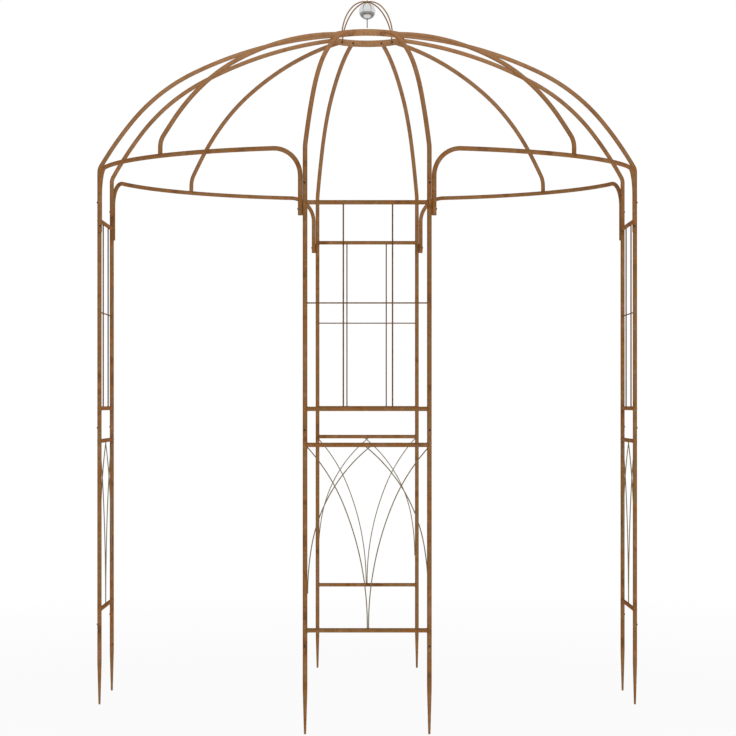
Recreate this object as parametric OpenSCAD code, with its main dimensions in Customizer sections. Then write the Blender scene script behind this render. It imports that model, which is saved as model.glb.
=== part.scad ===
// Domed garden pavilion of round steel tube.
// Four flat trellis panels stand on a circle. Level bent tubes span the four
// doorways between them, and twelve curved ribs rise from panels and doorways
// to a flat crown ring, which carries two crossed hoops and a mirror ball.
// Heights are measured from the tips of the ground spikes, which lie in z = 0.

/* [Plan] */
// Radius of the circle on which the eight posts stand
plan_r = 1210; // [1000:10:1500]
// Distance between the two posts of a trellis panel
panel_w = 500; // [400:10:640]

/* [Posts] */
// Outer diameter of posts, ribs and doorway tubes
tube_d = 19; // [16:0.5:25]
// Height of the joint between a spike and its lower post
foot_joint_z = 324; // [250:1:420]
// Height of the joint between a lower and an upper post
mid_joint_z = 1193; // [1050:1:1350]
// Height of the joint between an upper post and its rib
rib_joint_z = 2189; // [2050:1:2350]
// Length of the tapered end of a spike
spike_taper = 186; // [120:1:230]
// Diameter of the flat tip of a spike
spike_tip_d = 9; // [5:0.5:12]

/* [Trellis panels] */
// Diameter of the four cross bars of a panel
bar_d = 18; // [12:0.5:19]
// Height of the lowest cross bar above the spike joint
low_bar_rise = 94; // [60:1:200]
// Drop of the lower waist bar below the middle joint
waist_bar_drop = 29; // [20:1:60]
// Height of the upper waist bar above the middle joint
waist_bar_rise = 116; // [80:1:180]
// Drop of the top cross bar below the rib joint
top_bar_drop = 49; // [25:1:80]
// Diameter of the two upright trellis rods
upright_d = 6; // [4:0.5:10]
// Distance between the two upright trellis rods
upright_gap = 198; // [120:1:300]
// Diameter of the level trellis rod
level_rod_d = 5.5; // [3:0.5:8]
// Height of the level trellis rod above the upper waist bar
level_rod_rise = 426; // [200:1:600]
// Diameter of the curved tracery rods
tracery_d = 4.5; // [3:0.5:6]
// Height from the middle of the waist bar down to where the outer tracery curves cross
tracery_drop = 14.5; // [9.5:0.5:20]
// Height over which the outer tracery curves fall from there to the posts
tracery_fall = 584; // [400:1:650]
// Radius of the outer tracery curves in their lower part
outer_low_r = 1144; // [900:1:2500]
// Height of the lower part of the outer tracery curves
outer_low_rise = 190; // [60:1:250]
// Straight length at the foot of the inner tracery curves
tracery_foot = 10; // [10:1:120]
// Clear gap between the two inner tracery curves at their feet
tracery_gap = 0.5; // [0.5:0.1:10]
// Radius of the inner tracery curves in their lower part
inner_low_r = 1282; // [1000:1:2500]
// Height of the lower part of the inner tracery curves
inner_low_rise = 484; // [200:1:560]
// Distance from an inner tracery curve's end, in the bar, to its post's middle; less than 0 is past it
tracery_corner = -2.5; // [-3:0.5:40]
// Shift of the trellis rods and the tracery from the middle of the panel
infill_shift = 3; // [0:0.5:6]

/* [Doorways] */
// Height of a doorway tube above the rib joint
arch_rise = 172; // [150:1:260]
// Radius of a doorway tube in plan
arch_r = 1135; // [1000:5:1400]
// Radius of the bends at the two ends of a doorway tube
arch_bend_r = 115; // [60:1:140]
// Clear gap between a post and the socket beside it
socket_gap = 1; // [0.5:0.5:4]
// Length of the sockets that hold the doorway tubes
socket_h = 48; // [30:1:80]
// Drop of the top of a socket below the rib joint
socket_drop = 53; // [30:1:90]
// Thickness of the weld between a socket and its post
weld_t = 6; // [3:0.5:10]

/* [Dome] */
// Height of the middle of the crown ring
ring_z = 2985; // [2850:5:3200]
// Outer diameter of the crown ring
ring_d = 335; // [260:5:420]
// Height of the flat bar of the crown ring
ring_h = 30; // [26:1:45]
// Thickness of the flat bar of the crown ring
ring_t = 4; // [3:0.5:8]
// Distance between the two ribs of a panel at the ring
rib_end_gap = 134; // [90:1:180]
// Straight upright length of a panel rib above its joint
rib_upright = 164; // [100:1:190]
// Radius of the bend at the foot of a panel rib
rib_bend_r = 52; // [40:1:120]
// Slope of a panel rib above its foot bend, in degrees
rib_foot_slope = 60; // [57:0.5:66]
// Radius of the middle arc of a panel rib
rib_middle_r = 840; // [760:5:900]
// Straight upright length of a doorway rib above the tube's middle
mid_rib_upright = 34; // [20:1:60]
// Radius of the bend at the foot of a doorway rib
mid_rib_bend_r = 85; // [40:1:120]
// Slope of a doorway rib above its foot bend, in degrees
mid_rib_foot_slope = 53; // [52.5:0.5:58]
// Radius of the middle arc of a doorway rib
mid_rib_middle_r = 1075; // [1000:5:1150]
// Slope of every rib where its lower and middle arcs meet, in degrees
rib_low_slope = 51; // [47:0.5:51.5]
// Slope of every rib where its middle and upper arcs meet, in degrees
rib_high_slope = 27; // [24:0.5:30]
// Slope of every rib at the crown ring, in degrees
rib_top_slope = 5.5; // [4:0.5:7]

/* [Finial] */
// Diameter of the round rod of the crossed hoops
hoop_d = 6; // [4:0.5:10]
// Drop of the level where a hoop stands upright below the middle of the ring
hoop_drop = 12; // [0:1:15]
// Radius of a hoop's sides beyond half the hoop's width
hoop_side_more = 25; // [5:1:60]
// Radius of a hoop's top short of half the hoop's width
hoop_top_less = 13.5; // [2:0.5:40]
// Height of the flat tabs' tops above the middle of the ring
tab_rise = 12.25; // [8:0.25:40]
// Width of the flat tabs at the feet of the hoops
tab_w = 11; // [9:1:16]
// Thickness of the flat tabs at the feet of the hoops
tab_t = 2.5; // [2:0.5:4]
// Diameter of the small disc where the hoops cross
hub_d = 14; // [10:1:24]
// Diameter of the mirror ball
ball_d = 76; // [50:1:100]
// Clear gap between the ball and the hoops above it
ball_gap = 1; // [0.5:0.5:4]
// Diameter of the threaded rod through the ball
pin_d = 5; // [4:0.5:8]
// Length of the threaded rod that shows below the ball
pin_drop = 38; // [10:1:60]
// Length of the threaded rod that shows above the hoops
pin_tip = 4.5; // [2:0.5:10]

/* [Screws] */
// Diameter of the screw heads
screw_d = 8.5; // [6:0.5:10]
// Height of a screw head above the surface it sits on
screw_h = 2.6; // [1.6:0.2:4]
// Height of a post screw above its joint
screw_rise = 30; // [20:1:45]
// Drop of a socket screw below the top of its socket
socket_screw_drop = 22; // [15:1:28]

/* [Hidden] */
SIDES = ["front", "right", "back", "left"];
$fa = 2;
$fs = 0.8;
bend_fn = 300;
bar_fn = 48;
RUST = "#8a5f3d";
RUST_ROD = "#84694b";
SCREW = "#3c2414";
STEEL = "#c8cacc";

// Bars that change their bend are made of lengths that stop short of each
// other by twice the gap, inside a seam ring a hair wider than the bar
seam_gap = 0.4;
seam_l = 3;
seam_t = 0.15;

post_x = panel_w / 2;
post_y = -sqrt(plan_r * plan_r - post_x * post_x);
low_bar_z = foot_joint_z + low_bar_rise;
lower_waist_z = mid_joint_z - waist_bar_drop;
upper_waist_z = mid_joint_z + waist_bar_rise;
top_bar_z = rib_joint_z - top_bar_drop;
level_rod_z = upper_waist_z + level_rod_rise;
arch_z = rib_joint_z + arch_rise;
ring_r = ring_d / 2;
ring_inner_r = ring_r - ring_t;

// A doorway is drawn with its middle on +X: u runs outwards, v sideways
socket_step = tube_d + socket_gap;
post_turn = asin(post_x / plan_r);
socket_turn = post_turn + 2 * asin(socket_step / 2 / plan_r);
leg_turn = 45 - socket_turn;
leg_u = plan_r * cos(leg_turn);
leg_v = plan_r * sin(leg_turn);
arch_half = asin(leg_v / norm([arch_r, arch_bend_r])) - atan(arch_bend_r / arch_r);
arch_u = leg_u + arch_bend_r * sin(arch_half) - arch_r * cos(arch_half);
socket_top_z = rib_joint_z - socket_drop;

// A panel rib runs in a straight line in plan from its post to the ring
rib_end_x = rib_end_gap / 2;
rib_end_y = -sqrt(ring_r * ring_r - rib_end_x * rib_end_x);
rib_run = norm([post_x - rib_end_x, post_y - rib_end_y]);
rib_turn = atan2(rib_end_y - post_y, rib_end_x - post_x);
mid_rib_run = arch_u + arch_r - ring_r;
saddle = tube_d / 10;

// A hoop is drawn in the XZ plane: two wide side arcs and a tighter one on top.
// Its rods end against the tabs, a little below the tabs' tops
hoop_half = ring_inner_r - hoop_d / 2;
hoop_side_r = hoop_half + hoop_side_more;
hoop_top_r = hoop_half - hoop_top_less;
hoop_z = ring_z - hoop_drop;
hoop_turn = acos(hoop_side_more / (hoop_side_more + hoop_top_less));
hoop_middle_z = hoop_z + (hoop_side_more + hoop_top_less) * sin(hoop_turn);
hoop_top_z = hoop_middle_z + hoop_top_r + hoop_d / 2;
tab_top_z = ring_z + tab_rise;
tab_lap = 5;
ball_z = hoop_top_z - hoop_d - ball_gap - ball_d / 2;
pin_low_z = ball_z - ball_d / 2 - pin_drop;
pin_high_z = hoop_top_z + pin_tip;

// ---- helpers ----

// Places its children at the panel that faces a side, drawn as the front one
module at_side(k) {
  rotate([0, 0, 90 * k]) children();
}

// Copies its children to the two posts of a panel, mirrored about its middle
module both_hands() {
  children();
  mirror([1, 0, 0]) children();
}

// Round bar bent about the Z axis through `angle`, just short of both its ends
module bent_bar(r, angle, d) {
  trim = seam_gap / r * 180 / PI;
  rotate([0, 0, trim])
    rotate_extrude(angle = angle - 2 * trim, $fn = bend_fn) translate([r, 0]) circle(d = d, $fn = bar_fn);
}

// Ring a hair wider than a bar, across Z, that fuses the two lengths it covers
module seam(d) {
  cylinder(h = seam_l, d = d + 2 * seam_t, center = true);
}

// Round tube that turns in the XZ plane, in the manner of a rib: it starts at
// [x, z] with one slope and bends towards +X to another, lower slope
module rib_bend(x, z, r, slope_in, slope_out) {
  translate([x, 0, z]) rotate([0, 90 - slope_in, 0]) seam(tube_d);
  translate([x + r * sin(slope_in), 0, z - r * cos(slope_in)])
    rotate([90, 0, 0])
      rotate([0, 0, 90 + slope_out])
        bent_bar(r, slope_in - slope_out, tube_d);
}

// Upright round bar between two heights
module upright(x, y, low, high, d) {
  translate([x, y, low]) cylinder(h = high - low, d = d);
}

// Level bar from post to post of the front panel
module level_bar(z, d) {
  translate([-post_x, post_y, z]) rotate([0, 90, 0]) cylinder(h = panel_w, d = d);
}

// The two posts of the front panel as plain cylinders, to cut bar ends with
module post_cutter() {
  both_hands() upright(post_x, post_y, 0, rib_joint_z, tube_d);
}

// Rib in the XZ plane: an upright foot, a bend, and three long arcs. The radii
// of the lower and the upper one are solved so that the rib meets the ring
// exactly `run` away. The upper arc goes on by one tube diameter, which the
// ring then cuts off
module rib(run, foot_z, bend_z, bend_r, foot_slope, middle_r) {
  low_x = bend_r * (1 - sin(foot_slope));
  low_z = bend_z + bend_r * cos(foot_slope);
  along = run - low_x - middle_r * (sin(rib_low_slope) - sin(rib_high_slope));
  rise = ring_z - low_z - middle_r * (cos(rib_high_slope) - cos(rib_low_slope));
  a = sin(foot_slope) - sin(rib_low_slope);
  b = sin(rib_high_slope) - sin(rib_top_slope);
  c = cos(rib_low_slope) - cos(foot_slope);
  d = cos(rib_top_slope) - cos(rib_high_slope);
  lower_r = (along * d - rise * b) / (a * d - b * c);
  upper_r = (rise * a - along * c) / (a * d - b * c);
  upright(0, 0, foot_z, bend_z - seam_gap, tube_d);
  rib_bend(0, bend_z, bend_r, 90, foot_slope);
  rib_bend(low_x, low_z, lower_r, foot_slope, rib_low_slope);
  rib_bend(low_x + lower_r * a, low_z + lower_r * c, middle_r, rib_low_slope, rib_high_slope);
  rib_bend(run - upper_r * b, ring_z - upper_r * d, upper_r, rib_high_slope,
    rib_top_slope - tube_d / upper_r * 180 / PI);
}

// Everything inside the ring's outer face, to cut rib ends with
module ring_cutter() {
  translate([0, 0, ring_z - ring_d / 2]) cylinder(h = ring_d, r = ring_r);
}

// ---- panels, drawn as the front one ----

module spikes() {
  color(RUST)
    both_hands() {
      upright(post_x, post_y, spike_taper, foot_joint_z, tube_d);
      translate([post_x, post_y, 0])
        cylinder(h = spike_taper, d1 = spike_tip_d, d2 = tube_d);
    }
}

module lower_posts() {
  color(RUST) both_hands() upright(post_x, post_y, foot_joint_z, mid_joint_z, tube_d);
}

// Upper posts, each with the welded socket that holds a doorway tube
module upper_posts() {
  color(RUST)
    both_hands() {
      upright(post_x, post_y, mid_joint_z, rib_joint_z, tube_d);
      rotate([0, 0, socket_turn])
        upright(0, -plan_r, socket_top_z - socket_h, socket_top_z, tube_d);
      rotate([0, 0, (post_turn + socket_turn) / 2])
        translate([-socket_step / 2, -plan_r - weld_t / 2, socket_top_z - socket_h])
          cube([socket_step, weld_t, socket_h]);
    }
}

module cross_bars() {
  color(RUST)
    difference() {
      for (z = [low_bar_z, lower_waist_z, upper_waist_z, top_bar_z]) level_bar(z, bar_d);
      post_cutter();
    }
}

module trellis() {
  color(RUST_ROD)
    difference() {
      union() {
        translate([infill_shift, 0, 0])
          both_hands() upright(upright_gap / 2, post_y, upper_waist_z, top_bar_z, upright_d);
        level_bar(level_rod_z, level_rod_d);
      }
      level_bar(upper_waist_z, bar_d);
      level_bar(top_bar_z, bar_d);
      post_cutter();
    }
}

// Curved rod in the plane of the front panel, upright at its foot [x, z]. It bends
// towards +X by the radius low_r up to `low_rise`, and then by the radius that
// brings it `reach` sideways at the height `rise`. It ends `top` above its foot,
// and starts where it has moved by `skip`
module tracery_curve(x, z, reach, rise, top, low_r, low_rise, skip = 0) {
  low_turn = asin(low_rise / low_r);
  moved = low_r * (1 - cos(low_turn));
  high_rise = rise - low_rise;
  end_turn = 2 * atan((reach - moved) / high_rise) - low_turn;
  high_r = high_rise / (sin(end_turn) - sin(low_turn));
  high_turn = asin(sin(low_turn) + (top - low_rise) / high_r);
  translate([x, post_y, z])
    rotate([90, 0, 0]) {
      translate([low_r, 0])
        rotate([0, 0, 180 - low_turn])
          bent_bar(low_r, low_turn - acos(1 - skip / low_r), tracery_d);
      translate([moved + high_r * cos(low_turn), low_rise - high_r * sin(low_turn)])
        rotate([0, 0, 180 - high_turn]) bent_bar(high_r, high_turn - low_turn, tracery_d);
      translate([moved, low_rise]) rotate([-90, 0, -low_turn]) seam(tracery_d);
    }
}

// The outer curves spring from the posts and cross in the middle; the inner
// ones rise side by side from the lowest bar and part towards the posts
module tracery() {
  outer_x = post_x - tube_d / 2 - tracery_d / 4 + infill_shift;
  outer_z = lower_waist_z - tracery_drop - tracery_fall;
  foot_x = (tracery_d + tracery_gap) / 2;
  foot_z = low_bar_z + bar_d / 2 + tracery_foot;
  inner_rise = lower_waist_z - foot_z;
  color(RUST_ROD)
    difference() {
      translate([infill_shift, 0, 0])
        for (hand = [0, 1])
          mirror([hand, 0, 0]) {
            tracery_curve(-outer_x, outer_z, outer_x, tracery_fall, tracery_fall + tracery_drop,
              outer_low_r, outer_low_rise, hand * 2 * infill_shift);
            tracery_curve(foot_x, foot_z, post_x - tracery_corner - foot_x, inner_rise, inner_rise,
              inner_low_r, inner_low_rise);
            upright(foot_x, post_y, low_bar_z, foot_z - seam_gap, tracery_d);
            translate([foot_x, post_y, foot_z]) seam(tracery_d);
          }
      level_bar(low_bar_z, bar_d);
      level_bar(lower_waist_z, bar_d);
      post_cutter();
    }
}

module panel_rib() {
  color(RUST)
    difference() {
      translate([post_x, post_y, 0])
        rotate([0, 0, rib_turn])
          rib(rib_run, rib_joint_z, rib_joint_z + rib_upright, rib_bend_r, rib_foot_slope,
            rib_middle_r);
      ring_cutter();
    }
}

// ---- doorways, drawn with their middle on +X ----

// The level part of a doorway tube
module arch_span() {
  translate([arch_u, 0, arch_z])
    rotate([0, 0, -arch_half]) bent_bar(arch_r, 2 * arch_half, tube_d);
}

module door_arch() {
  color(RUST) {
    arch_span();
    for (side = [0, 1])
      mirror([0, side, 0]) {
        translate([arch_u + arch_r * cos(arch_half), arch_r * sin(arch_half), arch_z - arch_bend_r])
          rotate([0, 0, 90 + arch_half])
            rotate([90, 0, 0]) {
              bent_bar(arch_bend_r, 90, tube_d);
              translate([0, arch_bend_r, 0]) rotate([0, 90, 0]) seam(tube_d);
            }
        upright(leg_u, leg_v, socket_top_z, arch_z - arch_bend_r - seam_gap, tube_d);
        translate([leg_u, leg_v, arch_z - arch_bend_r]) seam(tube_d);
      }
  }
}

module door_rib() {
  color(RUST)
    difference() {
      translate([arch_u + arch_r, 0, 0])
        rotate([0, 0, 180])
          rib(mid_rib_run, arch_z + saddle, arch_z + mid_rib_upright, mid_rib_bend_r,
            mid_rib_foot_slope, mid_rib_middle_r);
      ring_cutter();
      arch_span();
    }
}

// ---- crown and finial ----

module crown_ring() {
  color(RUST)
    translate([0, 0, ring_z - ring_h / 2])
      rotate_extrude() translate([ring_inner_r, 0]) square([ring_t, ring_h]);
}

// One hoop with its two flat tabs, in the XZ plane
module hoop() {
  foot_turn = asin((tab_top_z - tab_lap - hoop_z) / hoop_side_r);
  translate([0, 0, hoop_middle_z])
    rotate([90, 0, 0]) rotate([0, 0, hoop_turn]) bent_bar(hoop_top_r, 180 - 2 * hoop_turn, hoop_d);
  for (side = [0, 1])
    mirror([side, 0, 0]) {
      translate([-hoop_side_more, 0, hoop_z])
        rotate([90, 0, 0])
          rotate([0, 0, foot_turn]) bent_bar(hoop_side_r, hoop_turn - foot_turn, hoop_d);
      translate([hoop_top_r * cos(hoop_turn), 0, hoop_middle_z + hoop_top_r * sin(hoop_turn)])
        rotate([0, -hoop_turn, 0]) seam(hoop_d);
      translate([ring_inner_r - tab_t, -tab_w / 2, ring_z - tab_w / 2])
        cube([ring_t, tab_w, tab_top_z - ring_z + tab_w / 2]);
    }
}

module finial_hoops() {
  color(RUST)
    difference() {
      union() {
        for (turn = [45, 135]) rotate([0, 0, turn]) hoop();
        upright(0, 0, hoop_top_z - hoop_d, hoop_top_z, hub_d);
      }
      crown_ring();
      upright(0, 0, pin_low_z, pin_high_z, pin_d);
    }
}

module finial_ball() {
  color(STEEL)
    difference() {
      translate([0, 0, ball_z]) sphere(d = ball_d);
      upright(0, 0, pin_low_z, pin_high_z, pin_d);
    }
}

module finial_pin() {
  color(STEEL) upright(0, 0, pin_low_z, pin_high_z, pin_d);
}

// ---- screws ----

// Screw head that points along +X and sits on a round tube at the origin
module tube_screw() {
  difference() {
    rotate([0, 90, 0]) cylinder(h = tube_d / 2 + screw_h, d = screw_d);
    translate([0, 0, -screw_d]) cylinder(h = 2 * screw_d, d = tube_d);
  }
}

// Screw head inside the ring, where a rib ends in the direction `turn`. It sits
// on something `seat` thick, and `root` more of it is cut to the ring's face
module ring_screw(turn, seat, root) {
  intersection() {
    rotate([0, 0, turn])
      translate([ring_inner_r - seat - screw_h, 0, ring_z])
        rotate([0, 90, 0]) cylinder(h = screw_h + root, d = screw_d);
    upright(0, 0, ring_z - ring_h / 2, ring_z + ring_h / 2, 2 * ring_inner_r);
  }
}

module screws() {
  color(SCREW)
    for (k = [0:3])
      at_side(k) {
        both_hands() {
          for (z = [foot_joint_z, mid_joint_z, rib_joint_z])
            rotate([0, 0, post_turn])
              translate([0, -plan_r, z + screw_rise]) rotate([0, 0, -90]) tube_screw();
          rotate([0, 0, socket_turn])
            translate([0, -plan_r, socket_top_z - socket_screw_drop]) tube_screw();
          ring_screw(atan2(rib_end_y, rib_end_x), 0, ring_t);
        }
        ring_screw(-45, tab_t, 0);
      }
}

// ---- parts ----

for (k = [0:3]) {
  side = SIDES[k];
  at_side(k) {
    spikes();
    lower_posts();
    upper_posts();
    cross_bars();
    trellis();
    tracery();
    mirror([1, 0, 0]) panel_rib();
    panel_rib();
  }
  rotate([0, 0, 90 * k - 45]) {
    door_arch();
    door_rib();
  }
}
crown_ring();
finial_hoops();
finial_ball();
finial_pin();
screws();
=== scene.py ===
"""Metal garden pavilion: eight posts, four trellised panels, four doorways and a domed roof.

Every piece is dressed over the construction solids of the frame. Lengths are in metres
unless a name ends in _mm, and angles are in degrees.
"""

import logging
import math
from dataclasses import dataclass, field
from enum import Enum
from functools import cache
import bpy
from bpy.types import ID, Light, Material, Mesh, Node, NodeSocket, NodeTree, Object
from mathutils import Matrix, Vector


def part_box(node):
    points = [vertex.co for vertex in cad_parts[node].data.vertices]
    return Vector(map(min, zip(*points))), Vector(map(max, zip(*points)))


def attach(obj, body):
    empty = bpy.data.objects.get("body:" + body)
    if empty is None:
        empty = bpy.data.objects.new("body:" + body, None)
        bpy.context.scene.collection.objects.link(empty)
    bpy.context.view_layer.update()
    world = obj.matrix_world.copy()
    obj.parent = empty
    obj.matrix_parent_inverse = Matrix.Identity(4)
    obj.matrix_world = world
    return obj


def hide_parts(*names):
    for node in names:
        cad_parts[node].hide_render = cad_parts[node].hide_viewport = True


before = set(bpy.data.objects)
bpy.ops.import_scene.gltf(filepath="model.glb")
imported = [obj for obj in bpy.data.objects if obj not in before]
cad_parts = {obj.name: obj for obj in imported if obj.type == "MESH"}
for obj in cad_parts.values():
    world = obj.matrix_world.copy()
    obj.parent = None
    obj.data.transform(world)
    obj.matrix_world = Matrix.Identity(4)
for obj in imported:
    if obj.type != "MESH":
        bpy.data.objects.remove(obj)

log = logging.getLogger("pavilion")

X_AXIS = Vector((1.0, 0.0, 0.0))
Y_AXIS = Vector((0.0, 1.0, 0.0))
UP = Vector((0.0, 0.0, 1.0))
HANDS = (1, -1)
MM_PER_M = 1000.0
TUBE_SIDES = 28
ROD_SIDES = 16
BEAD_SIDES = 8
RIPPLE_STEP = 0.4
SHARP_EDGE = math.radians(38)
ROUND = 2.0
UNEVEN = (0.85, 1.15)

Pair = tuple[float, float]
Triple = tuple[float, float, float]
Line = list[Vector]
Links = dict[int | str, object]


class Side(Enum):
    """The four trellised panels, by their quarter turns from the front one."""

    FRONT = 0
    RIGHT = 1
    BACK = 2
    LEFT = 3

    def own(self, name: str) -> str:
        """Name of this panel's own node or piece."""
        return f"{self.name.lower()}_{name}"

    @property
    def turn(self) -> float:
        """Turn from the front panel."""
        return 90.0 * self.value


class TubeEnd(Enum):
    """How a length of tube ends."""

    MOUTH = "sawn square and dressed, with its bore open"
    SPIGOT = "rounded shoulder, with a thinner spigot for the next length"
    BURIED = "plain, inside another part"


def sin(angle: float) -> float:
    """Sine of an angle in degrees."""
    return math.sin(math.radians(angle))


def cos(angle: float) -> float:
    """Cosine of an angle in degrees."""
    return math.cos(math.radians(angle))


def polar(radius: float, angle: float, height: float = 0.0) -> Vector:
    """Point round the Z axis, with the angle from +X."""
    return Vector((radius * cos(angle), radius * sin(angle), height))


def evenly(first: float, last: float, steps: int) -> list[float]:
    """Values from first to last in even steps, with both ends."""
    return [first + (last - first) * i / steps for i in range(steps + 1)]


def eased(size: float) -> list[Pair]:
    """Points of an eased edge of a size: how far each lies along one face and below the other."""
    return [(0.0, size), (0.3 * size, 0.3 * size), (size, 0.0)]


def about_z(turn: float) -> Matrix:
    """Turn about the Z axis."""
    return Matrix.Rotation(math.radians(turn), 3, "Z")


def put_up(name: str, data: ID) -> Object:
    """Make an object and link it to the scene.

    Args:
        name: its name.
        data: its mesh, lamp or camera.

    Returns:
        The object.
    """
    thing = bpy.data.objects.new(name, data)
    bpy.context.scene.collection.objects.link(thing)
    return thing


# ---- finishes ----


def linear(code: str) -> tuple[float, float, float, float]:
    """Turn an sRGB hex colour to a linear one.

    Args:
        code: the colour, such as "#8A5F3D".

    Returns:
        Linear red, green and blue, and an alpha of 1.
    """
    parts = [int(code[i : i + 2], 16) / 255 for i in (1, 3, 5)]
    levels = [p / 12.92 if p <= 0.04045 else ((p + 0.055) / 1.055) ** 2.4 for p in parts]
    return *levels, 1.0


def feed(tree: NodeTree, node: Node, inputs: Links) -> None:
    """Set a node's inputs, or link them to a socket or to the first output of a node.

    Args:
        tree: tree that holds the node.
        node: node that gets them.
        inputs: values, sockets or nodes, by the input's name or number.
    """
    for key, value in inputs.items():
        if isinstance(value, Node):
            value = value.outputs[0]
        if isinstance(value, NodeSocket):
            tree.links.new(value, node.inputs[key])
        else:
            node.inputs[key].default_value = value


def add(tree: NodeTree, kind: str, inputs: Links | None = None, **settings: object) -> Node:
    """Add a node to a tree, with its settings and links.

    Args:
        tree: tree that gets the node.
        kind: type name of the node.
        inputs: what feeds it, as for feed.
        **settings: properties of the node.

    Returns:
        The new node.
    """
    node = tree.nodes.new(kind)
    for name, value in settings.items():
        setattr(node, name, value)
    feed(tree, node, inputs or {})
    return node


@dataclass(frozen=True)
class Coat:
    """A colour over another: the pattern's values that start and fill it, and its strength."""

    start: float
    full: float
    strength: float


@dataclass
class Paint:
    """Material under construction: its tree, its coordinates and its shader."""

    name: str

    def __post_init__(self) -> None:
        """Start an empty material that reads Object coordinates."""
        self.material = bpy.data.materials.new(self.name)
        self.material.use_nodes = True
        self.tree = self.material.node_tree
        self.shader = self.tree.nodes["Principled BSDF"]
        self.place = add(self.tree, "ShaderNodeTexCoord").outputs["Object"]

    def pattern(self, size_mm: float, detail: float = 2.0, shift: float = 0.0) -> Node:
        """Cloudy pattern with features of a real size.

        Args:
            size_mm: width of a feature.
            detail: octaves of finer noise.
            shift: moves the pattern, so that two of one size differ.

        Returns:
            Noise of about 0.3 to 0.7.
        """
        place = add(self.tree, "ShaderNodeMapping", {0: self.place, 1: (shift, shift, shift)})
        inputs = {"Vector": place, "Scale": MM_PER_M / size_mm, "Detail": detail}
        return add(self.tree, "ShaderNodeTexNoise", inputs)

    def coated(self, under: object, value: object, coat: Coat, code: str) -> NodeSocket:
        """Lay a coat of colour over the last.

        Args:
            under: colour below.
            value: pattern that the coat follows.
            coat: where it lies, and how strongly.
            code: its hex colour.

        Returns:
            The colour of both.
        """
        inputs = {0: value, 1: coat.start, 2: coat.full, 4: coat.strength}
        amount = add(self.tree, "ShaderNodeMapRange", inputs)
        inputs = {0: amount, 6: under, 7: linear(code)}
        return add(self.tree, "ShaderNodeMix", inputs, data_type="RGBA").outputs[2]

    def finish(self, value: object, spread: Pair, roughness: Pair, inputs: Links) -> None:
        """Set the shader, rougher where a pattern is strong.

        Args:
            value: pattern that the roughness follows.
            spread: its values at the least and the most roughness.
            roughness: the least and the most roughness.
            inputs: the shader's other inputs.
        """
        ends = {0: value, 1: spread[0], 2: spread[1], 3: roughness[0], 4: roughness[1]}
        rough = add(self.tree, "ShaderNodeMapRange", ends)
        feed(self.tree, self.shader, {"Roughness": rough, **inputs})

    def relief(self, height: object, depth_mm: float) -> None:
        """Give the shader a bumpy surface of a real depth."""
        bump = add(self.tree, "ShaderNodeBump", {"Height": height, "Distance": depth_mm / MM_PER_M})
        feed(self.tree, self.shader, {"Normal": bump})


@dataclass(frozen=True)
class Finish:
    """Any finish: its own name, and the slot of the record that it belongs to."""

    name: str
    slot: str

    def lay_on(self, paint: Paint) -> None:
        """Lay the finish on an empty material."""
        raise NotImplementedError

    @cache
    def material(self) -> Material:
        """Give the finish's one material.

        Returns:
            The material, made at the first call.
        """
        paint = Paint(self.name)
        self.lay_on(paint)
        return paint.material


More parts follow.
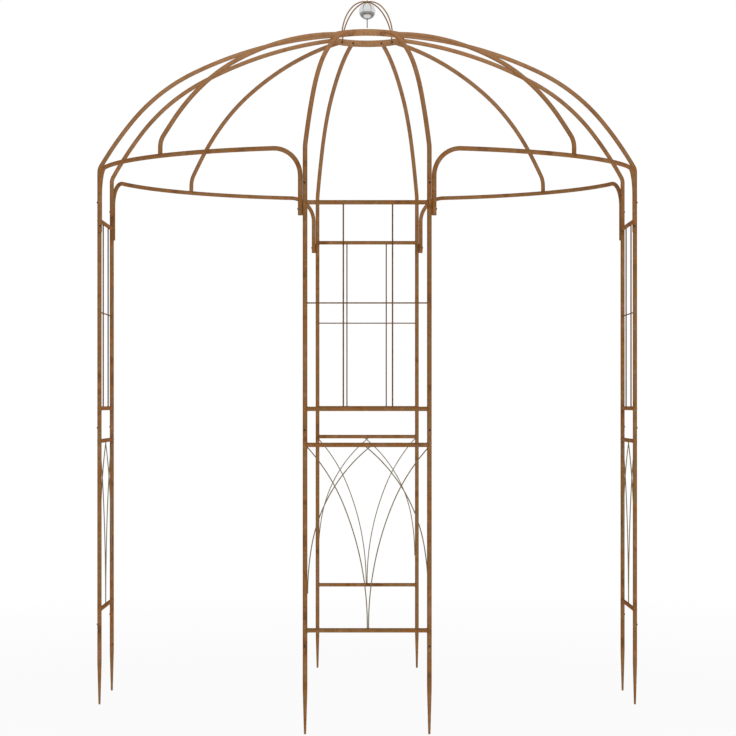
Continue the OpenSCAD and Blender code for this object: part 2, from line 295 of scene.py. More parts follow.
@dataclass(frozen=True)
class RustPatina(Finish):
    """Mild steel left to rust in the open, then brushed and oiled.

    To the eye: a dry brown skin with soft clouds of orange, olive and dull rose, dark
    scorched places beside the welds, pin-head pits and a fine sandy grain. Up in the roof it
    is painted lighter, a painted highlight for light from above, and loose powder gives its
    edges a faint orange sheen.
    """

    base: str = "#8E653D"
    warm: str = "#976435"
    olive: str = "#8B683E"
    rose: str = "#996A49"
    bloom: str = "#B88C67"
    shade: str = "#75502E"
    pit: str = "#3E2814"
    scorch: str = "#3B2A20"
    powder: str = "#C07038"
    cloud_mm: float = 90.0
    blotch_mm: float = 28.0
    pit_mm: float = 3.0
    grain_mm: float = 0.8
    relief_mm: float = 0.25
    roughness: Pair = (0.72, 0.92)
    specular: float = 0.05
    sheen: Pair = (0.35, 0.5)
    # Painted highlight: colour lighter with height, from 2.2 m to 3.0 m, standing in for light from
    # above on the roof.
    roof_painted_light: Coat = Coat(2.2, 3.0, 0.6)
    dusty: Coat = Coat(0.5, 0.68, 0.28)
    stained: Coat = Coat(0.52, 0.68, 0.24)
    pitted: Coat = Coat(0.63, 0.7, 0.6)
    sandy: Coat = Coat(0.65, 0.35, 0.2)
    burnt: Coat = Coat(0.0, 1.0, 0.7)

    def clouds(self, paint: Paint) -> Node:
        """Mix soft clouds of the rust's five colours.

        Args:
            paint: material under construction.

        Returns:
            The node that gives their colour.
        """
        node = add(paint.tree, "ShaderNodeValToRGB", {0: paint.pattern(self.cloud_mm, 3.0)})
        codes = (self.shade, self.warm, self.base, self.olive, self.rose)
        elements = node.color_ramp.elements
        for place, code in zip((0.34, 0.43, 0.5, 0.57, 0.66), codes):
            elements.new(place).color = linear(code)
        for spare in (elements[-1], elements[0]):
            elements.remove(spare)
        return node

    def lay_on(self, paint: Paint) -> None:
        """Lay the rust on, from its clouds to the scorching.

        Args:
            paint: material under construction.
        """
        blotches = paint.pattern(self.blotch_mm, 4.0, 3.7)
        stains = paint.pattern(self.blotch_mm * 2, 3.0, 9.1)
        pits, grain = paint.pattern(self.pit_mm, 1.0), paint.pattern(self.grain_mm)
        height = add(paint.tree, "ShaderNodeSeparateXYZ", {0: paint.place}).outputs[2]
        heat = add(paint.tree, "ShaderNodeAttribute", attribute_name="heat").outputs["Fac"]
        colour = self.clouds(paint)
        for value, coat, code in (
            # Painted highlight: the roof is lighter with height, standing in for light from above.
            (height, self.roof_painted_light, self.bloom),
            (blotches, self.dusty, self.bloom),
            (stains, self.stained, self.shade),
            (pits, self.pitted, self.pit),
            (grain, self.sandy, self.pit),
            (heat, self.burnt, self.scorch),
        ):
            colour = paint.coated(colour, value, coat, code)
        bumps = add(paint.tree, "ShaderNodeMath", {0: grain, 1: blotches}, operation="ADD")
        paint.relief(bumps, self.relief_mm)
        inputs = {
            "Base Color": colour,
            "Specular IOR Level": self.specular,
            "Sheen Weight": self.sheen[0],
            "Sheen Roughness": self.sheen[1],
            "Sheen Tint": linear(self.powder),
        }
        paint.finish(blotches, (0.35, 0.65), self.roughness, inputs)


@dataclass(frozen=True)
class MirrorSteel(Finish):
    """Stainless steel, spun to a globe and buffed: a clean mirror with a faint haze of wiping."""

    colour: str = "#D8D9D9"
    haze_mm: float = 14.0
    roughness: Pair = (0.1, 0.2)

    def lay_on(self, paint: Paint) -> None:
        """Lay the mirror and its haze on."""
        inputs = {"Base Color": linear(self.colour), "Metallic": 1.0}
        paint.finish(paint.pattern(self.haze_mm, 4.0), (0.4, 0.7), self.roughness, inputs)


@dataclass(frozen=True)
class PlatedSteel(Finish):
    """Turned steel with a thin plating: satin metal with dull and stained spots.

    The stains' size is that of the plating's water marks. The grain, the turning
    marks of the lathe, is drawn about three times as coarse as it is, to show.
    """

    colour: str
    stain: str
    stain_mm: float = 2.5
    grain_mm: float = 0.3
    relief_mm: float = 0.05
    metallic: float = 1.0
    roughness: Pair = (0.28, 0.55)
    spotted: Coat = Coat(0.45, 0.65, 0.8)

    def lay_on(self, paint: Paint) -> None:
        """Lay the plating, its spots and its grain on.

        Args:
            paint: material under construction.
        """
        spots = paint.pattern(self.stain_mm, 3.0)
        colour = paint.coated(linear(self.colour), spots, self.spotted, self.stain)
        paint.relief(paint.pattern(self.grain_mm), self.relief_mm)
        inputs = {"Base Color": colour, "Metallic": self.metallic}
        paint.finish(spots, (0.4, 0.65), self.roughness, inputs)


TUBE_RUST = RustPatina("rust_on_tube", "rusty_tube")
BAND_RUST = RustPatina("rust_on_flat_bar", "rusty_band", cloud_mm=60.0, blotch_mm=20.0)
ROD_RUST = RustPatina(
    "rust_on_thin_rod",
    "thin_rod",
    base="#6E4C29",
    warm="#774C23",
    olive="#6A502E",
    rose="#745134",
    bloom="#A8865E",
    shade="#56391D",
    cloud_mm=40.0,
    blotch_mm=12.0,
    pit_mm=2.0,
)
CURVE_RUST = RustPatina(
    "thin_rust_on_drawn_rod",
    "thin_rod",
    base="#887C61",
    warm="#8D7853",
    olive="#857E62",
    rose="#8C7F69",
    bloom="#9E957A",
    shade="#6F654B",
    cloud_mm=40.0,
    blotch_mm=12.0,
    pit_mm=2.0,
)
WELD_RUST = RustPatina(
    "scorched_weld",
    "rusty_tube",
    base="#6B4A33",
    warm="#7A4B2A",
    olive="#5E4A35",
    rose="#6F5145",
    bloom="#8C6B50",
    cloud_mm=12.0,
    blotch_mm=4.0,
    pit_mm=1.2,
    roughness=(0.5, 0.8),
)
GLOBE_STEEL = MirrorSteel("buffed_stainless_steel", "mirror_steel")
PIN_STEEL = PlatedSteel("zinc_plated_steel", "steel_pin", "#A3A6A8", "#7E7F80")
SCREW_STEEL = PlatedSteel(
    "blackened_screw_steel", "dark_screw", "#3A2C26", "#5A3320", metallic=0.6, roughness=(0.4, 0.7)
)


# ---- making pieces ----


@dataclass(frozen=True)
class Pose:
    """A place along a middle line, and how the bar lies there."""

    point: Vector
    heading: Vector
    side: Vector

    def ahead(self, run: float) -> "Pose":
        """The same, moved along its heading."""
        return Pose(self.point + self.heading * run, self.heading, self.side)

    def ring(self, radius: float, count: int = TUBE_SIDES) -> Line:
        """Circle of points round the bar.

        Args:
            radius: its radius.
            count: how many points it has.

        Returns:
            The points, counter-clockwise about the heading.
        """
        up = self.heading.cross(self.side)
        turns = evenly(0, 360, count)[:-1]
        return [self.point + (self.side * cos(a) + up * sin(a)) * radius for a in turns]


@dataclass(frozen=True)
class Leg:
    """One straight length or one bend of a middle line. A radius of 0 is straight."""

    start: float
    length: float
    pose: Pose
    radius: float = 0.0
    towards: Vector = UP

    def at(self, along: float) -> Pose:
        """Pose at a distance along the line.

        Args:
            along: distance from the start of the whole line.

        Returns:
            The pose there.
        """
        run = along - self.start
        here = self.pose
        if not self.radius:
            return here.ahead(run)
        angle = run / self.radius
        sideways = self.towards * (1 - math.cos(angle))
        point = here.point + (here.heading * math.sin(angle) + sideways) * self.radius
        turn = Matrix.Rotation(angle, 3, here.heading.cross(self.towards))
        return Pose(point, turn @ here.heading, turn @ here.side)


@dataclass
class CentreLine:
    """Middle line of a tube, laid out one length and one bend at a time, as on a bender."""

    legs: list[Leg]
    longest: float = 0.03
    sharpest: float = 4.0

    @classmethod
    def beginning(cls, point: Vector, heading: Vector, side: Vector) -> "CentreLine":
        """Start a line at a point."""
        return cls([Leg(0.0, 0.0, Pose(point, heading.normalized(), side.normalized()))])

    @property
    def length(self) -> float:
        """Length so far."""
        return self.legs[-1].start + self.legs[-1].length

    def go(self, length: float, radius: float = 0.0, towards: Vector = UP) -> "CentreLine":
        """Go on straight, or round a bend where a radius is given."""
        self.legs.append(Leg(self.length, length, self.at(self.length), radius, towards))
        return self

    def bend(self, radius: float, angle: float, towards: Vector) -> "CentreLine":
        """Go round a bend.

        Args:
            radius: radius of the bend.
            angle: how far it turns.
            towards: where it bends to, made square to the heading first.

        Returns:
            The line itself.
        """
        heading = self.at(self.length).heading
        square = (towards - heading * towards.dot(heading)).normalized()
        return self.go(radius * math.radians(angle), radius, square)

    def at(self, along: float) -> Pose:
        """Pose at a distance along the line, which goes straight on past its ends.

        Args:
            along: distance from its start.

        Returns:
            The pose there.
        """
        for leg in self.legs:
            if along <= leg.start + leg.length:
                return leg.at(along)
        return self.legs[-1].at(self.length).ahead(along - self.length)

    def stations(self, low: float, high: float, apart: float = 1e-4) -> list[float]:
        """Distances where the skin needs a ring.

        Args:
            low: distance that they start after.
            high: distance that they stop before.
            apart: least distance between two of them.

        Returns:
            The distances, in order.
        """
        marks: list[float] = []
        for leg in self.legs:
            turned = math.degrees(leg.length / leg.radius) if leg.radius else 0.0
            count = max(1, math.ceil(leg.length / self.longest), math.ceil(turned / self.sharpest))
            marks += evenly(leg.start, leg.start + leg.length, count)
        inside = sorted(mark for mark in marks if low + apart < mark < high - apart)
        return [mark for i, mark in enumerate(inside) if i == 0 or mark - inside[i - 1] > apart]


@dataclass
class Skin:
    """Surface of a piece while it is being made, with its scorching by heat."""

    points: Line = field(default_factory=list)
    faces: list[tuple[int, ...]] = field(default_factory=list)
    heat: list[float] = field(default_factory=list)

    def loft(self, rings: list[Line], heats: tuple[float, ...] = (), joined: bool = False) -> None:
        """Join closed rings of points.

        Args:
            rings: rings of as many points each, counter-clockwise about the way that they go.
            heats: scorching of each ring, from 0 to 1; none where it isn't given.
            joined: whether the last ring joins the first; both ends are closed flat if not.
        """
        base, count, rows = len(self.points), len(rings[0]), len(rings)
        for ring, heat in zip(rings, heats or [0.0] * rows):
            self.points.extend(ring)
            self.heat.extend([heat] * count)
        for i in range(rows if joined else rows - 1):
            low, high = base + i * count, base + (i + 1) % rows * count
            for j in range(count):
                k = (j + 1) % count
                self.faces.append((low + j, low + k, high + k, high + j))
        if not joined:
            self.faces.append(tuple(base + j for j in reversed(range(count))))
            self.faces.append(tuple(base + (rows - 1) * count + j for j in range(count)))

    def lathe(self, profile: list[Pair], count: int, pose: Pose) -> None:
        """Turn a profile of (height, radius) pairs about a pose's heading."""
        self.loft([pose.ahead(height).ring(radius, count) for height, radius in profile])

    def piece(self, name: str, finish: Finish, turn: float = 0.0) -> Object:
        """Make the surface an object of its own.

        Args:
            name: name of the piece.
            finish: what it is finished with.
            turn: turn of its mesh about the Z axis.

        Returns:
            The object, at the origin and unturned.
        """
        mesh = bpy.data.meshes.new(name)
        mesh.from_pydata(self.points, [], self.faces)
        mesh.attributes.new("heat", "FLOAT", "POINT").data.foreach_set("value", self.heat)
        mesh.transform(about_z(turn).to_4x4())
        mesh.polygons.foreach_set("use_smooth", [True] * len(mesh.polygons))
        mesh.set_sharp_from_angle(angle=SHARP_EDGE)
        mesh.materials.append(finish.material())
        return put_up(name, mesh)


@dataclass(frozen=True)
class Tube:
    """Round tube along a middle line, with its wall, its ends and its scorched places."""

    line: CentreLine
    radius: float
    first: TubeEnd = TubeEnd.BURIED
    last: TubeEnd = TubeEnd.BURIED
    hot: tuple[float, ...] = ()
    wall: float = 0.0015
    edge: float = 0.0006
    shoulder: float = 0.0012
    spigot: float = 0.016
    spigot_edge: float = 0.0004
    fit: float = 0.0002
    plain_edge: float = 0.0001
    bore: float = 0.045
    hot_reach: float = 0.016

    def end_profile(self, style: TubeEnd) -> list[Pair]:
        """Profile of an end, from the inside out.

        Args:
            style: how the tube ends.

        Returns:
            Pairs of a distance from the end and a radius.
        """
        r = self.radius
        if style is TubeEnd.MOUTH:
            inner, lip = r - self.wall, self.edge / 2
            inside = [(self.bore, inner), (lip, inner), (0.0, inner + lip)]
            return inside + [(out, r - less) for out, less in eased(self.edge)]
        if style is TubeEnd.SPIGOT:
            neck, ease = r - self.wall - self.fit, self.spigot_edge
            inside = [(-self.spigot, neck - ease), (-self.spigot + ease, neck), (0.0, neck)]
            return inside + [(out, r - less) for out, less in eased(self.shoulder)]
        return [(0.0, r - self.plain_edge), (self.plain_edge, r)]

    def profile(self) -> list[Pair]:
        """Profile of the whole tube.

        Returns:
            Pairs of a distance along the line and a radius.
        """
        begin = self.end_profile(self.first)
        finish = [(self.line.length - out, r) for out, r in reversed(self.end_profile(self.last))]
        marks = self.line.stations(begin[-1][0], finish[0][0])
        return begin + [(mark, self.radius) for mark in marks] + finish

    def scorch(self, along: float) -> float:
        """How scorched the tube is at a distance along it, from 0 to 1."""
        return min(1.0, sum(math.exp(-(((along - at) / self.hot_reach) ** 2)) for at in self.hot))

    def cover(self, skin: Skin, profile: list[Pair] | None = None) -> None:
        """Add the tube to a skin.

        Args:
            skin: surface that gets it.
            profile: profile to use in place of the tube's own.
        """
        profile = profile or self.profile()
        rings = [self.line.at(along).ring(radius) for along, radius in profile]
        skin.loft(rings, tuple(self.scorch(along) for along, _ in profile))


def covered(*tubes: Tube) -> Skin:
    """Cover some tubes with one skin.

    Args:
        *tubes: the tubes.

    Returns:
        Their surface.
    """
    skin = Skin()
    for tube in tubes:
        tube.cover(skin)
    return skin


def settle(piece: Object, slot: str, *nodes: str) -> None:
    """Give a finished piece its body, and hide the nodes that it stands for.

    Args:
        piece: the piece.
        slot: not used.
        *nodes: nodes that it replaces; none for what is added at the joints.
    """
    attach(piece, "root")
    if nodes:
        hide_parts(*nodes)
    log.info("%s: %d faces, for %s", piece.name, len(piece.data.polygons), nodes or "the joints")


# ---- node trees that repeat things and follow paths ----


class Input(Enum):
    """Kinds of inputs that a tree of geometry nodes offers."""

    LENGTH = "NodeSocketFloat"
    COUNT = "NodeSocketInt"
    OBJECT = "NodeSocketObject"
    MATERIAL = "NodeSocketMaterial"
    GEOMETRY = "NodeSocketGeometry"


@dataclass
class Maker:
    """Tree of geometry nodes with named inputs, and the way to run it."""

    name: str
    inputs: dict[str, Input]

    def __post_init__(self) -> None:
        """Start the tree with its inputs and its output."""
        self.tree = bpy.data.node_groups.new(self.name, "GeometryNodeTree")
        face = self.tree.interface
        offered = {"Geometry": Input.GEOMETRY, **self.inputs, "Material": Input.MATERIAL}
        for name, kind in offered.items():
            face.new_socket(name, in_out="INPUT", socket_type=kind.value)
        face.new_socket("Geometry", in_out="OUTPUT", socket_type=Input.GEOMETRY.value)
        self.start = add(self.tree, "NodeGroupInput").outputs

    def close(self, made: Node) -> "Maker":
        """End the tree: smooth, real geometry with its material.

        Args:
            made: node that gives the geometry.

        Returns:
            The maker itself.
        """
        smooth = add(self.tree, "GeometryNodeSetShadeSmooth", {0: made})
        real = add(self.tree, "GeometryNodeRealizeInstances", {0: smooth})
        faced = add(self.tree, "GeometryNodeSetMaterial", {0: real, 2: self.start["Material"]})
        add(self.tree, "NodeGroupOutput", {0: faced})
        return self

    def run(self, name: str, source: Mesh, settings: dict[str, object]) -> Object:
        """Run the tree on a mesh.

        Args:
            name: name of the piece that comes of it.
            source: points or paths that the tree works on.
            settings: values of the tree's inputs, by name.

        Returns:
            The piece as a plain mesh, without the modifier.
        """
        piece = put_up(name, source)
        modifier = piece.modifiers.new(self.name, "NODES")
        modifier.node_group = self.tree
        for item in self.tree.interface.items_tree:
            if item.in_out == "INPUT" and item.name in settings:
                modifier[item.identifier] = settings[item.name]
        result = piece.evaluated_get(bpy.context.evaluated_depsgraph_get())
        mesh = bpy.data.meshes.new_from_object(result)
        piece.modifiers.remove(modifier)
        piece.data = mesh
        mesh.name = name
        bpy.data.meshes.remove(source)
        return piece


@dataclass
class Paths:
    """Lines of points that a tree follows."""

    points: Line = field(default_factory=list)
    edges: list[tuple[int, int]] = field(default_factory=list)

    def along(self, *lines: Line, closed: bool = False) -> "Paths":
        """Add lines of points.

        Args:
            *lines: the lines.
            closed: whether the last point of each joins its first.

        Returns:
            The paths themselves.
        """
        for points in lines:
            base, last = len(self.points), len(points) - 1
            self.points.extend(points)
            self.edges.extend((base + i, base + i + 1) for i in range(last))
            if closed:
                self.edges.append((base + last, base))
        return self

    def mesh(self, name: str, turns: tuple[float, ...] = (0.0,)) -> Mesh:
        """Make the lines a mesh of edges.

        Args:
            name: name of the mesh.
            turns: turns about the Z axis at which the lines are repeated.

        Returns:
            The mesh.
        """
        points: Line = []
        edges: list[tuple[int, int]] = []
        for turn in turns:
            base, spin = len(points), about_z(turn)
            points.extend(spin @ point for point in self.points)
            edges.extend((base + a, base + b) for a, b in self.edges)
        mesh = bpy.data.meshes.new(name)
        mesh.from_pydata(points, edges, [])
        return mesh


def rod_maker() -> Maker:
    """Make the tree that draws a round rod along each path.

    Returns:
        Maker with the inputs Rod Diameter and Sides.
    """
    maker = Maker("rods_along_paths", {"Rod Diameter": Input.LENGTH, "Sides": Input.COUNT})
    tree, start = maker.tree, maker.start
    half = add(tree, "ShaderNodeMath", {0: start["Rod Diameter"], 1: 0.5}, operation="MULTIPLY")
    curve = add(tree, "GeometryNodeMeshToCurve", {0: start["Geometry"]})
    section = add(tree, "GeometryNodeCurvePrimitiveCircle", {0: start["Sides"], 4: half})
    inputs = {0: curve, 1: section, "Fill Caps": True}
    return maker.close(add(tree, "GeometryNodeCurveToMesh", inputs))


def weld_maker() -> Maker:
    """Make the tree that lays a rippled weld bead along each path.

    Returns:
        Maker with the inputs Bead Radius, Ripple Pitch, Ripple Depth and Seed.
    """
    sizes = dict.fromkeys(("Bead Radius", "Ripple Pitch", "Ripple Depth"), Input.LENGTH)
    maker = Maker("weld_beads_along_paths", {**sizes, "Seed": Input.COUNT})
    tree, start = maker.tree, maker.start
    pitch = start["Ripple Pitch"]
    step = add(tree, "ShaderNodeMath", {0: pitch, 1: RIPPLE_STEP}, operation="MULTIPLY")
    curve = add(tree, "GeometryNodeMeshToCurve", {0: start["Geometry"]})
    even = add(tree, "GeometryNodeResampleCurve", {0: curve, "Length": step}, mode="LENGTH")
    inputs = {2: UNEVEN[0], 3: UNEVEN[1], "Seed": start["Seed"]}
    uneven = add(tree, "FunctionNodeRandomValue", inputs, data_type="FLOAT").outputs[1]
    scale = add(tree, "GeometryNodeSplineParameter").outputs["Length"]
    for work, by in (
        ("DIVIDE", pitch),
        ("MULTIPLY", math.tau),
        ("SINE", 0.0),
        ("MULTIPLY", start["Ripple Depth"]),
        ("ADD", uneven),
    ):
        scale = add(tree, "ShaderNodeMath", {0: scale, 1: by}, operation=work)
    inputs = {0: BEAD_SIDES, 4: start["Bead Radius"]}
    section = add(tree, "GeometryNodeCurvePrimitiveCircle", inputs)
    inputs = {0: even, 1: section, "Scale": scale, "Fill Caps": True}
    return maker.close(add(tree, "GeometryNodeCurveToMesh", inputs))


def screw_maker() -> Maker:
    """Make the tree that sets a screw head on each point, facing as the point's attribute says.

    Returns:
        Maker with the inputs Head, Head Diameter, Head Height and Seed.
    """
    sizes = dict.fromkeys(("Head Diameter", "Head Height"), Input.LENGTH)
    offered = {"Head": Input.OBJECT, **sizes, "Seed": Input.COUNT}
    maker = Maker("screw_heads_on_points", offered)
    tree, start = maker.tree, maker.start
    head = add(tree, "GeometryNodeObjectInfo", {0: start["Head"]}).outputs["Geometry"]
    facing = add(
        tree, "GeometryNodeInputNamedAttribute", {0: "facing"}, data_type="FLOAT_VECTOR"
    )
    turned = add(tree, "FunctionNodeAlignRotationToVector", {2: facing}, axis="Z")
    inputs = {2: 0.0, 3: math.tau, "Seed": start["Seed"]}
    spin = add(tree, "FunctionNodeRandomValue", inputs, data_type="FLOAT").outputs[1]
    twist = add(tree, "FunctionNodeAxisAngleToRotation", {0: UP, 1: spin})
    inputs = {0: turned, 1: twist}
    lie = add(tree, "FunctionNodeRotateRotation", inputs, rotation_space="LOCAL")
    across, tall = start["Head Diameter"], start["Head Height"]
    scale = add(tree, "ShaderNodeCombineXYZ", {0: across, 1: across, 2: tall})
    inputs = {0: start["Geometry"], 2: head, 5: lie, 6: scale}
    return maker.close(add(tree, "GeometryNodeInstanceOnPoints", inputs))


# ---- the pavilion ----


@dataclass(frozen=True)
class Plan:
    """Places that the sub-assemblies share, taken from the frame."""

    bar_r: float
    tube_r: float
    post_x: float
    post_y: float
    foot_z: float
    mid_z: float
    rib_z: float
    arch_z: float
    ring_r: float
    ring_z: float
    band_high: float
    bar_low_z: float
    bar_top_z: float

    @classmethod
    def measured(cls, bar_r: float) -> "Plan":
        """Read the places off the frame's solids.

        Args:
            bar_r: radius of the cross bars.

        Returns:
            The plan.
        """
        low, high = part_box("front_lower_posts")
        bars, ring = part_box("front_cross_bars"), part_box("crown_ring")
        tube_r = (high.y - low.y) / 2
        return cls(
            bar_r=bar_r,
            tube_r=tube_r,
            post_x=high.x - tube_r,
            post_y=(low.y + high.y) / 2,
            foot_z=low.z,
            mid_z=high.z,
            rib_z=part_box("front_upper_posts")[1].z,
            arch_z=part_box("door_arch_1")[1].z - tube_r,
            ring_r=ring[1].x,
            ring_z=(ring[0].z + ring[1].z) / 2,
            band_high=ring[1].z - ring[0].z,
            bar_low_z=bars[0].z + bar_r,
            bar_top_z=bars[1].z - bar_r,
        )

    def front(self, x: float, z: float) -> Vector:
        """Place in the middle plane of the front panel."""
        return Vector((x, self.post_y, z))

    @property
    def plan_r(self) -> float:
        """Radius of the circle that the posts stand on."""
        return math.hypot(self.post_x, self.post_y)

    @property
    def post_turn(self) -> float:
        """Turn of a post from the middle of its panel."""
        return math.degrees(math.asin(self.post_x / self.plan_r))


@dataclass
class Panel:
    """One trellised panel: two posts in three lengths, four bars, a trellis and its tracery.

    The tracery's outer rods leave the posts curve_fall below their crossing, which lies
    curve_drop under the waist. Its inner rods start curve_gap apart, run straight for
    curve_foot and end curve_corner short of the posts' middles. outer_low and inner_low
    give the radius and the height of a rod's lower part.
    """

    plan: Plan
    spike_taper: float = 0.186
    spike_tip: tuple[Pair, ...] = ((0.0, 0.0025), (0.0008, 0.0039), (0.0024, 0.0046))
    spike_tip_r: float = 0.0045
    joint_gap: float = 0.0009
    socket_gap: float = 0.001
    socket_high: float = 0.048
    socket_drop: float = 0.053
    socket_bore: float = 0.02
    waist_z: Pair = (1.164, 1.309)
    upright_gap: float = 0.198
    upright_d: float = 0.006
    level_z: float = 1.735
    level_d: float = 0.0055
    rod_shift: float = 0.003
    curve_d: float = 0.0045
    curve_gap: float = 0.0005
    curve_drop: float = 0.0145
    curve_fall: float = 0.584
    curve_foot: float = 0.010
    curve_corner: float = -0.0025
    outer_low: Pair = (1.144, 0.190)
    inner_low: Pair = (1.282, 0.484)
    curve_spring: float = 0.1
    clear: float = 0.001
    weld_strip: Pair = (0.007, 0.006)
    strip_bead: float = 0.0034
    bead_inset: float = 0.00192
    spring_run: Pair = (0.002, 0.0022)
    spring_bead: Pair = (0.0012, 0.0019)
    screw_rise: float = 0.030
    socket_screw_drop: float = 0.022

    @property
    def bars_z(self) -> tuple[float, float, float, float]:
        """Heights of the four cross bars."""
        return (self.plan.bar_low_z, *self.waist_z, self.plan.bar_top_z)

    @property
    def socket_turn(self) -> float:
        """Turn of a socket from the middle of the panel."""
        half = (2 * self.plan.tube_r + self.socket_gap) / 2
        return self.plan.post_turn + 2 * math.degrees(math.asin(half / self.plan.plan_r))

    @property
    def seam_turn(self) -> float:
        """Turn of the seam between a post and its socket from the middle of the panel."""
        return (self.plan.post_turn + self.socket_turn) / 2

    @property
    def socket_z(self) -> Pair:
        """Heights of a socket's two ends."""
        top = self.plan.rib_z - self.socket_drop
        return top - self.socket_high, top

    def posts(self, low: float, high: float, first: TubeEnd, *hot: float) -> list[Tube]:
        """One length of both posts.

        Args:
            low: height of its lower end.
            high: height of its upper end.
            first: how its lower end is made.
            *hot: heights of welds on it, besides those of the bars.

        Returns:
            The two tubes.
        """
        spots = tuple(z - low for z in (*self.bars_z, *hot) if low < z < high)
        places = [self.plan.front(hand * self.plan.post_x, low) for hand in HANDS]
        lines = [CentreLine.beginning(place, UP, -Y_AXIS).go(high - low) for place in places]
        return [Tube(line, self.plan.tube_r, first, TubeEnd.SPIGOT, spots) for line in lines]

    def spikes(self) -> Skin:
        """Feet of the posts, drawn down to blunt points.

        Returns:
            Their surface.
        """
        skin = Skin()
        r, taper, tip = self.plan.tube_r, self.spike_taper, self.spike_tip_r
        cone = [(taper * t, tip + (r - tip) * t) for t in (0.03, 0.2, 0.4, 0.6, 0.8, 0.95)]
        for foot in self.posts(0.0, self.plan.foot_z, TubeEnd.BURIED):
            rest = [pair for pair in foot.profile() if pair[0] > taper]
            foot.cover(skin, [*self.spike_tip, *cone, (taper * 1.04, r), *rest])
        return skin

    def lower_posts(self) -> Skin:
        """Middle lengths of the posts."""
        low = self.plan.foot_z + self.joint_gap
        return covered(*self.posts(low, self.plan.mid_z, TubeEnd.MOUTH))

    def upper_posts(self) -> Skin:
        """Upper lengths of the posts, each with the socket that holds a doorway tube.

        Returns:
            Their surface.
        """
        plan, (low, high) = self.plan, self.socket_z
        posts = self.posts(plan.mid_z + self.joint_gap, plan.rib_z, TubeEnd.MOUTH, (low + high) / 2)
        mouths, hot = (TubeEnd.MOUTH, TubeEnd.MOUTH), ((high - low) / 2,)
        skin = covered(*posts)
        for hand in HANDS:
            place = polar(plan.plan_r, hand * self.socket_turn - 90, low)
            line = CentreLine.beginning(place, UP, -Y_AXIS).go(high - low)
            Tube(line, plan.tube_r, *mouths, hot, bore=self.socket_bore).cover(skin)
            self.strip(skin, hand * self.seam_turn - 90)
        return skin

    def strip(self, skin: Skin, turn: float) -> None:
        """Add the weld metal that fills the gap between a post and its socket.

        Args:
            skin: surface that gets it.
            turn: turn of its middle from +X.
        """
        out = polar(1.0, turn)
        across = Vector((-out.y, out.x, 0.0))
        half, deep = self.weld_strip[0] / 2, self.weld_strip[1] / 2
        corners = ((half, -deep), (-half, -deep), (-half, deep), (half, deep))
        low, high = self.socket_z
        reach = self.plan.plan_r * cos(self.socket_turn - self.plan.post_turn)
        middles = [polar(reach, turn, z) for z in (low + self.clear, high - self.clear)]
        rings = [[middle - across * x + out * y for x, y in corners] for middle in middles]
        skin.loft(rings, (1.0, 1.0))

    def cross_bars(self) -> Skin:
        """The four round bars from post to post, scorched where they are welded.

        Returns:
            Their surface.
        """
        plan, reach = self.plan, self.plan.post_x - self.clear
        hot = (plan.tube_r, 2 * reach - plan.tube_r)
        starts = [CentreLine.beginning(plan.front(-reach, z), X_AXIS, UP) for z in self.bars_z]
        return covered(*(Tube(start.go(2 * reach), plan.bar_r, hot=hot) for start in starts))

    @property
    def uprights_x(self) -> Pair:
        """Places of the two trellis uprights across the panel."""
        return self.rod_shift - self.upright_gap / 2, self.rod_shift + self.upright_gap / 2

    def trellis(self, steps: int = 24) -> tuple[Paths, Paths]:
        """Paths of the trellis rods.

        Args:
            steps: steps along each rod.

        Returns:
            Those of the uprights, and that of the level rod behind them.
        """
        plan, waist = self.plan, self.waist_z[1]
        heights = evenly(waist, plan.bar_top_z, steps)
        uprights = [[plan.front(x, z) for z in heights] for x in self.uprights_x]
        level = [plan.front(x, self.level_z) for x in evenly(-plan.post_x, plan.post_x, steps)]
        return Paths().along(*uprights), Paths().along(level)

    @staticmethod
    def curve(foot: Vector, reach: float, rise: float, top: float, low: Pair) -> Line:
        """Points of one tracery rod that bends towards +X, by one radius low down, another above.

        Args:
            foot: its lower end, where it is upright.
            reach: how far it has moved sideways when it is `rise` higher.
            rise: see reach.
            top: height of its upper end above its foot.
            low: radius and height of its lower part.

        Returns:
            The points, from the foot up.
        """
        low_r, low_rise = low
        turned = math.asin(low_rise / low_r)
        moved = low_r * (1 - math.cos(turned))
        end = 2 * math.atan((reach - moved) / (rise - low_rise)) - turned
        high_r = (rise - low_rise) / (math.sin(end) - math.sin(turned))
        last = math.asin(math.sin(turned) + (top - low_rise) / high_r)
        arcs = (
            (low_r, low_r, 0.0, evenly(0.0, turned, 18)),
            (
                high_r,
                moved + high_r * math.cos(turned),
                low_rise - high_r * math.sin(turned),
                evenly(turned, last, 24)[1:],
            ),
        )
        return [
            foot + Vector((x - r * math.cos(angle), 0.0, z + r * math.sin(angle)))
            for r, x, z, angles in arcs
            for angle in angles
        ]

    def tracery(self) -> tuple[list[Line], list[Line]]:
        """Middle lines of the lower field's rods.

        Returns:
            The two outer and the two inner rods, as points from the foot up.
        """
        plan, waist, fall = self.plan, self.waist_z[0], self.curve_fall
        # A quarter of an outer rod's thickness lies inside the post that it leaves.
        reach = plan.post_x - plan.tube_r - self.curve_d / 4 + self.rod_shift
        foot = plan.front(-reach, waist - self.curve_drop - fall)
        outer = self.curve(foot, reach, fall, fall + self.curve_drop, self.outer_low)
        below = plan.front((self.curve_d + self.curve_gap) / 2, plan.bar_low_z)
        foot = below + UP * (plan.bar_r + self.curve_foot)
        rise = waist - foot.z
        reach = plan.post_x - self.curve_corner - foot.x
        inner = [below, *self.curve(foot, reach, rise, rise, self.inner_low)]
        return tuple(
            [[Vector((hand * x + self.rod_shift, y, z)) for x, y, z in line] for hand in HANDS]
            for line in (outer, inner)
        )

    def buried(self, point: Vector) -> bool:
        """Tell whether a point lies inside a post or a cross bar.

        Args:
            point: the point.

        Returns:
            True if it does.
        """
        deep = point.y - self.plan.post_y
        in_post = math.hypot(abs(point.x) - self.plan.post_x, deep) < self.plan.tube_r
        return in_post or any(math.hypot(point.z - z, deep) < self.plan.bar_r for z in self.bars_z)

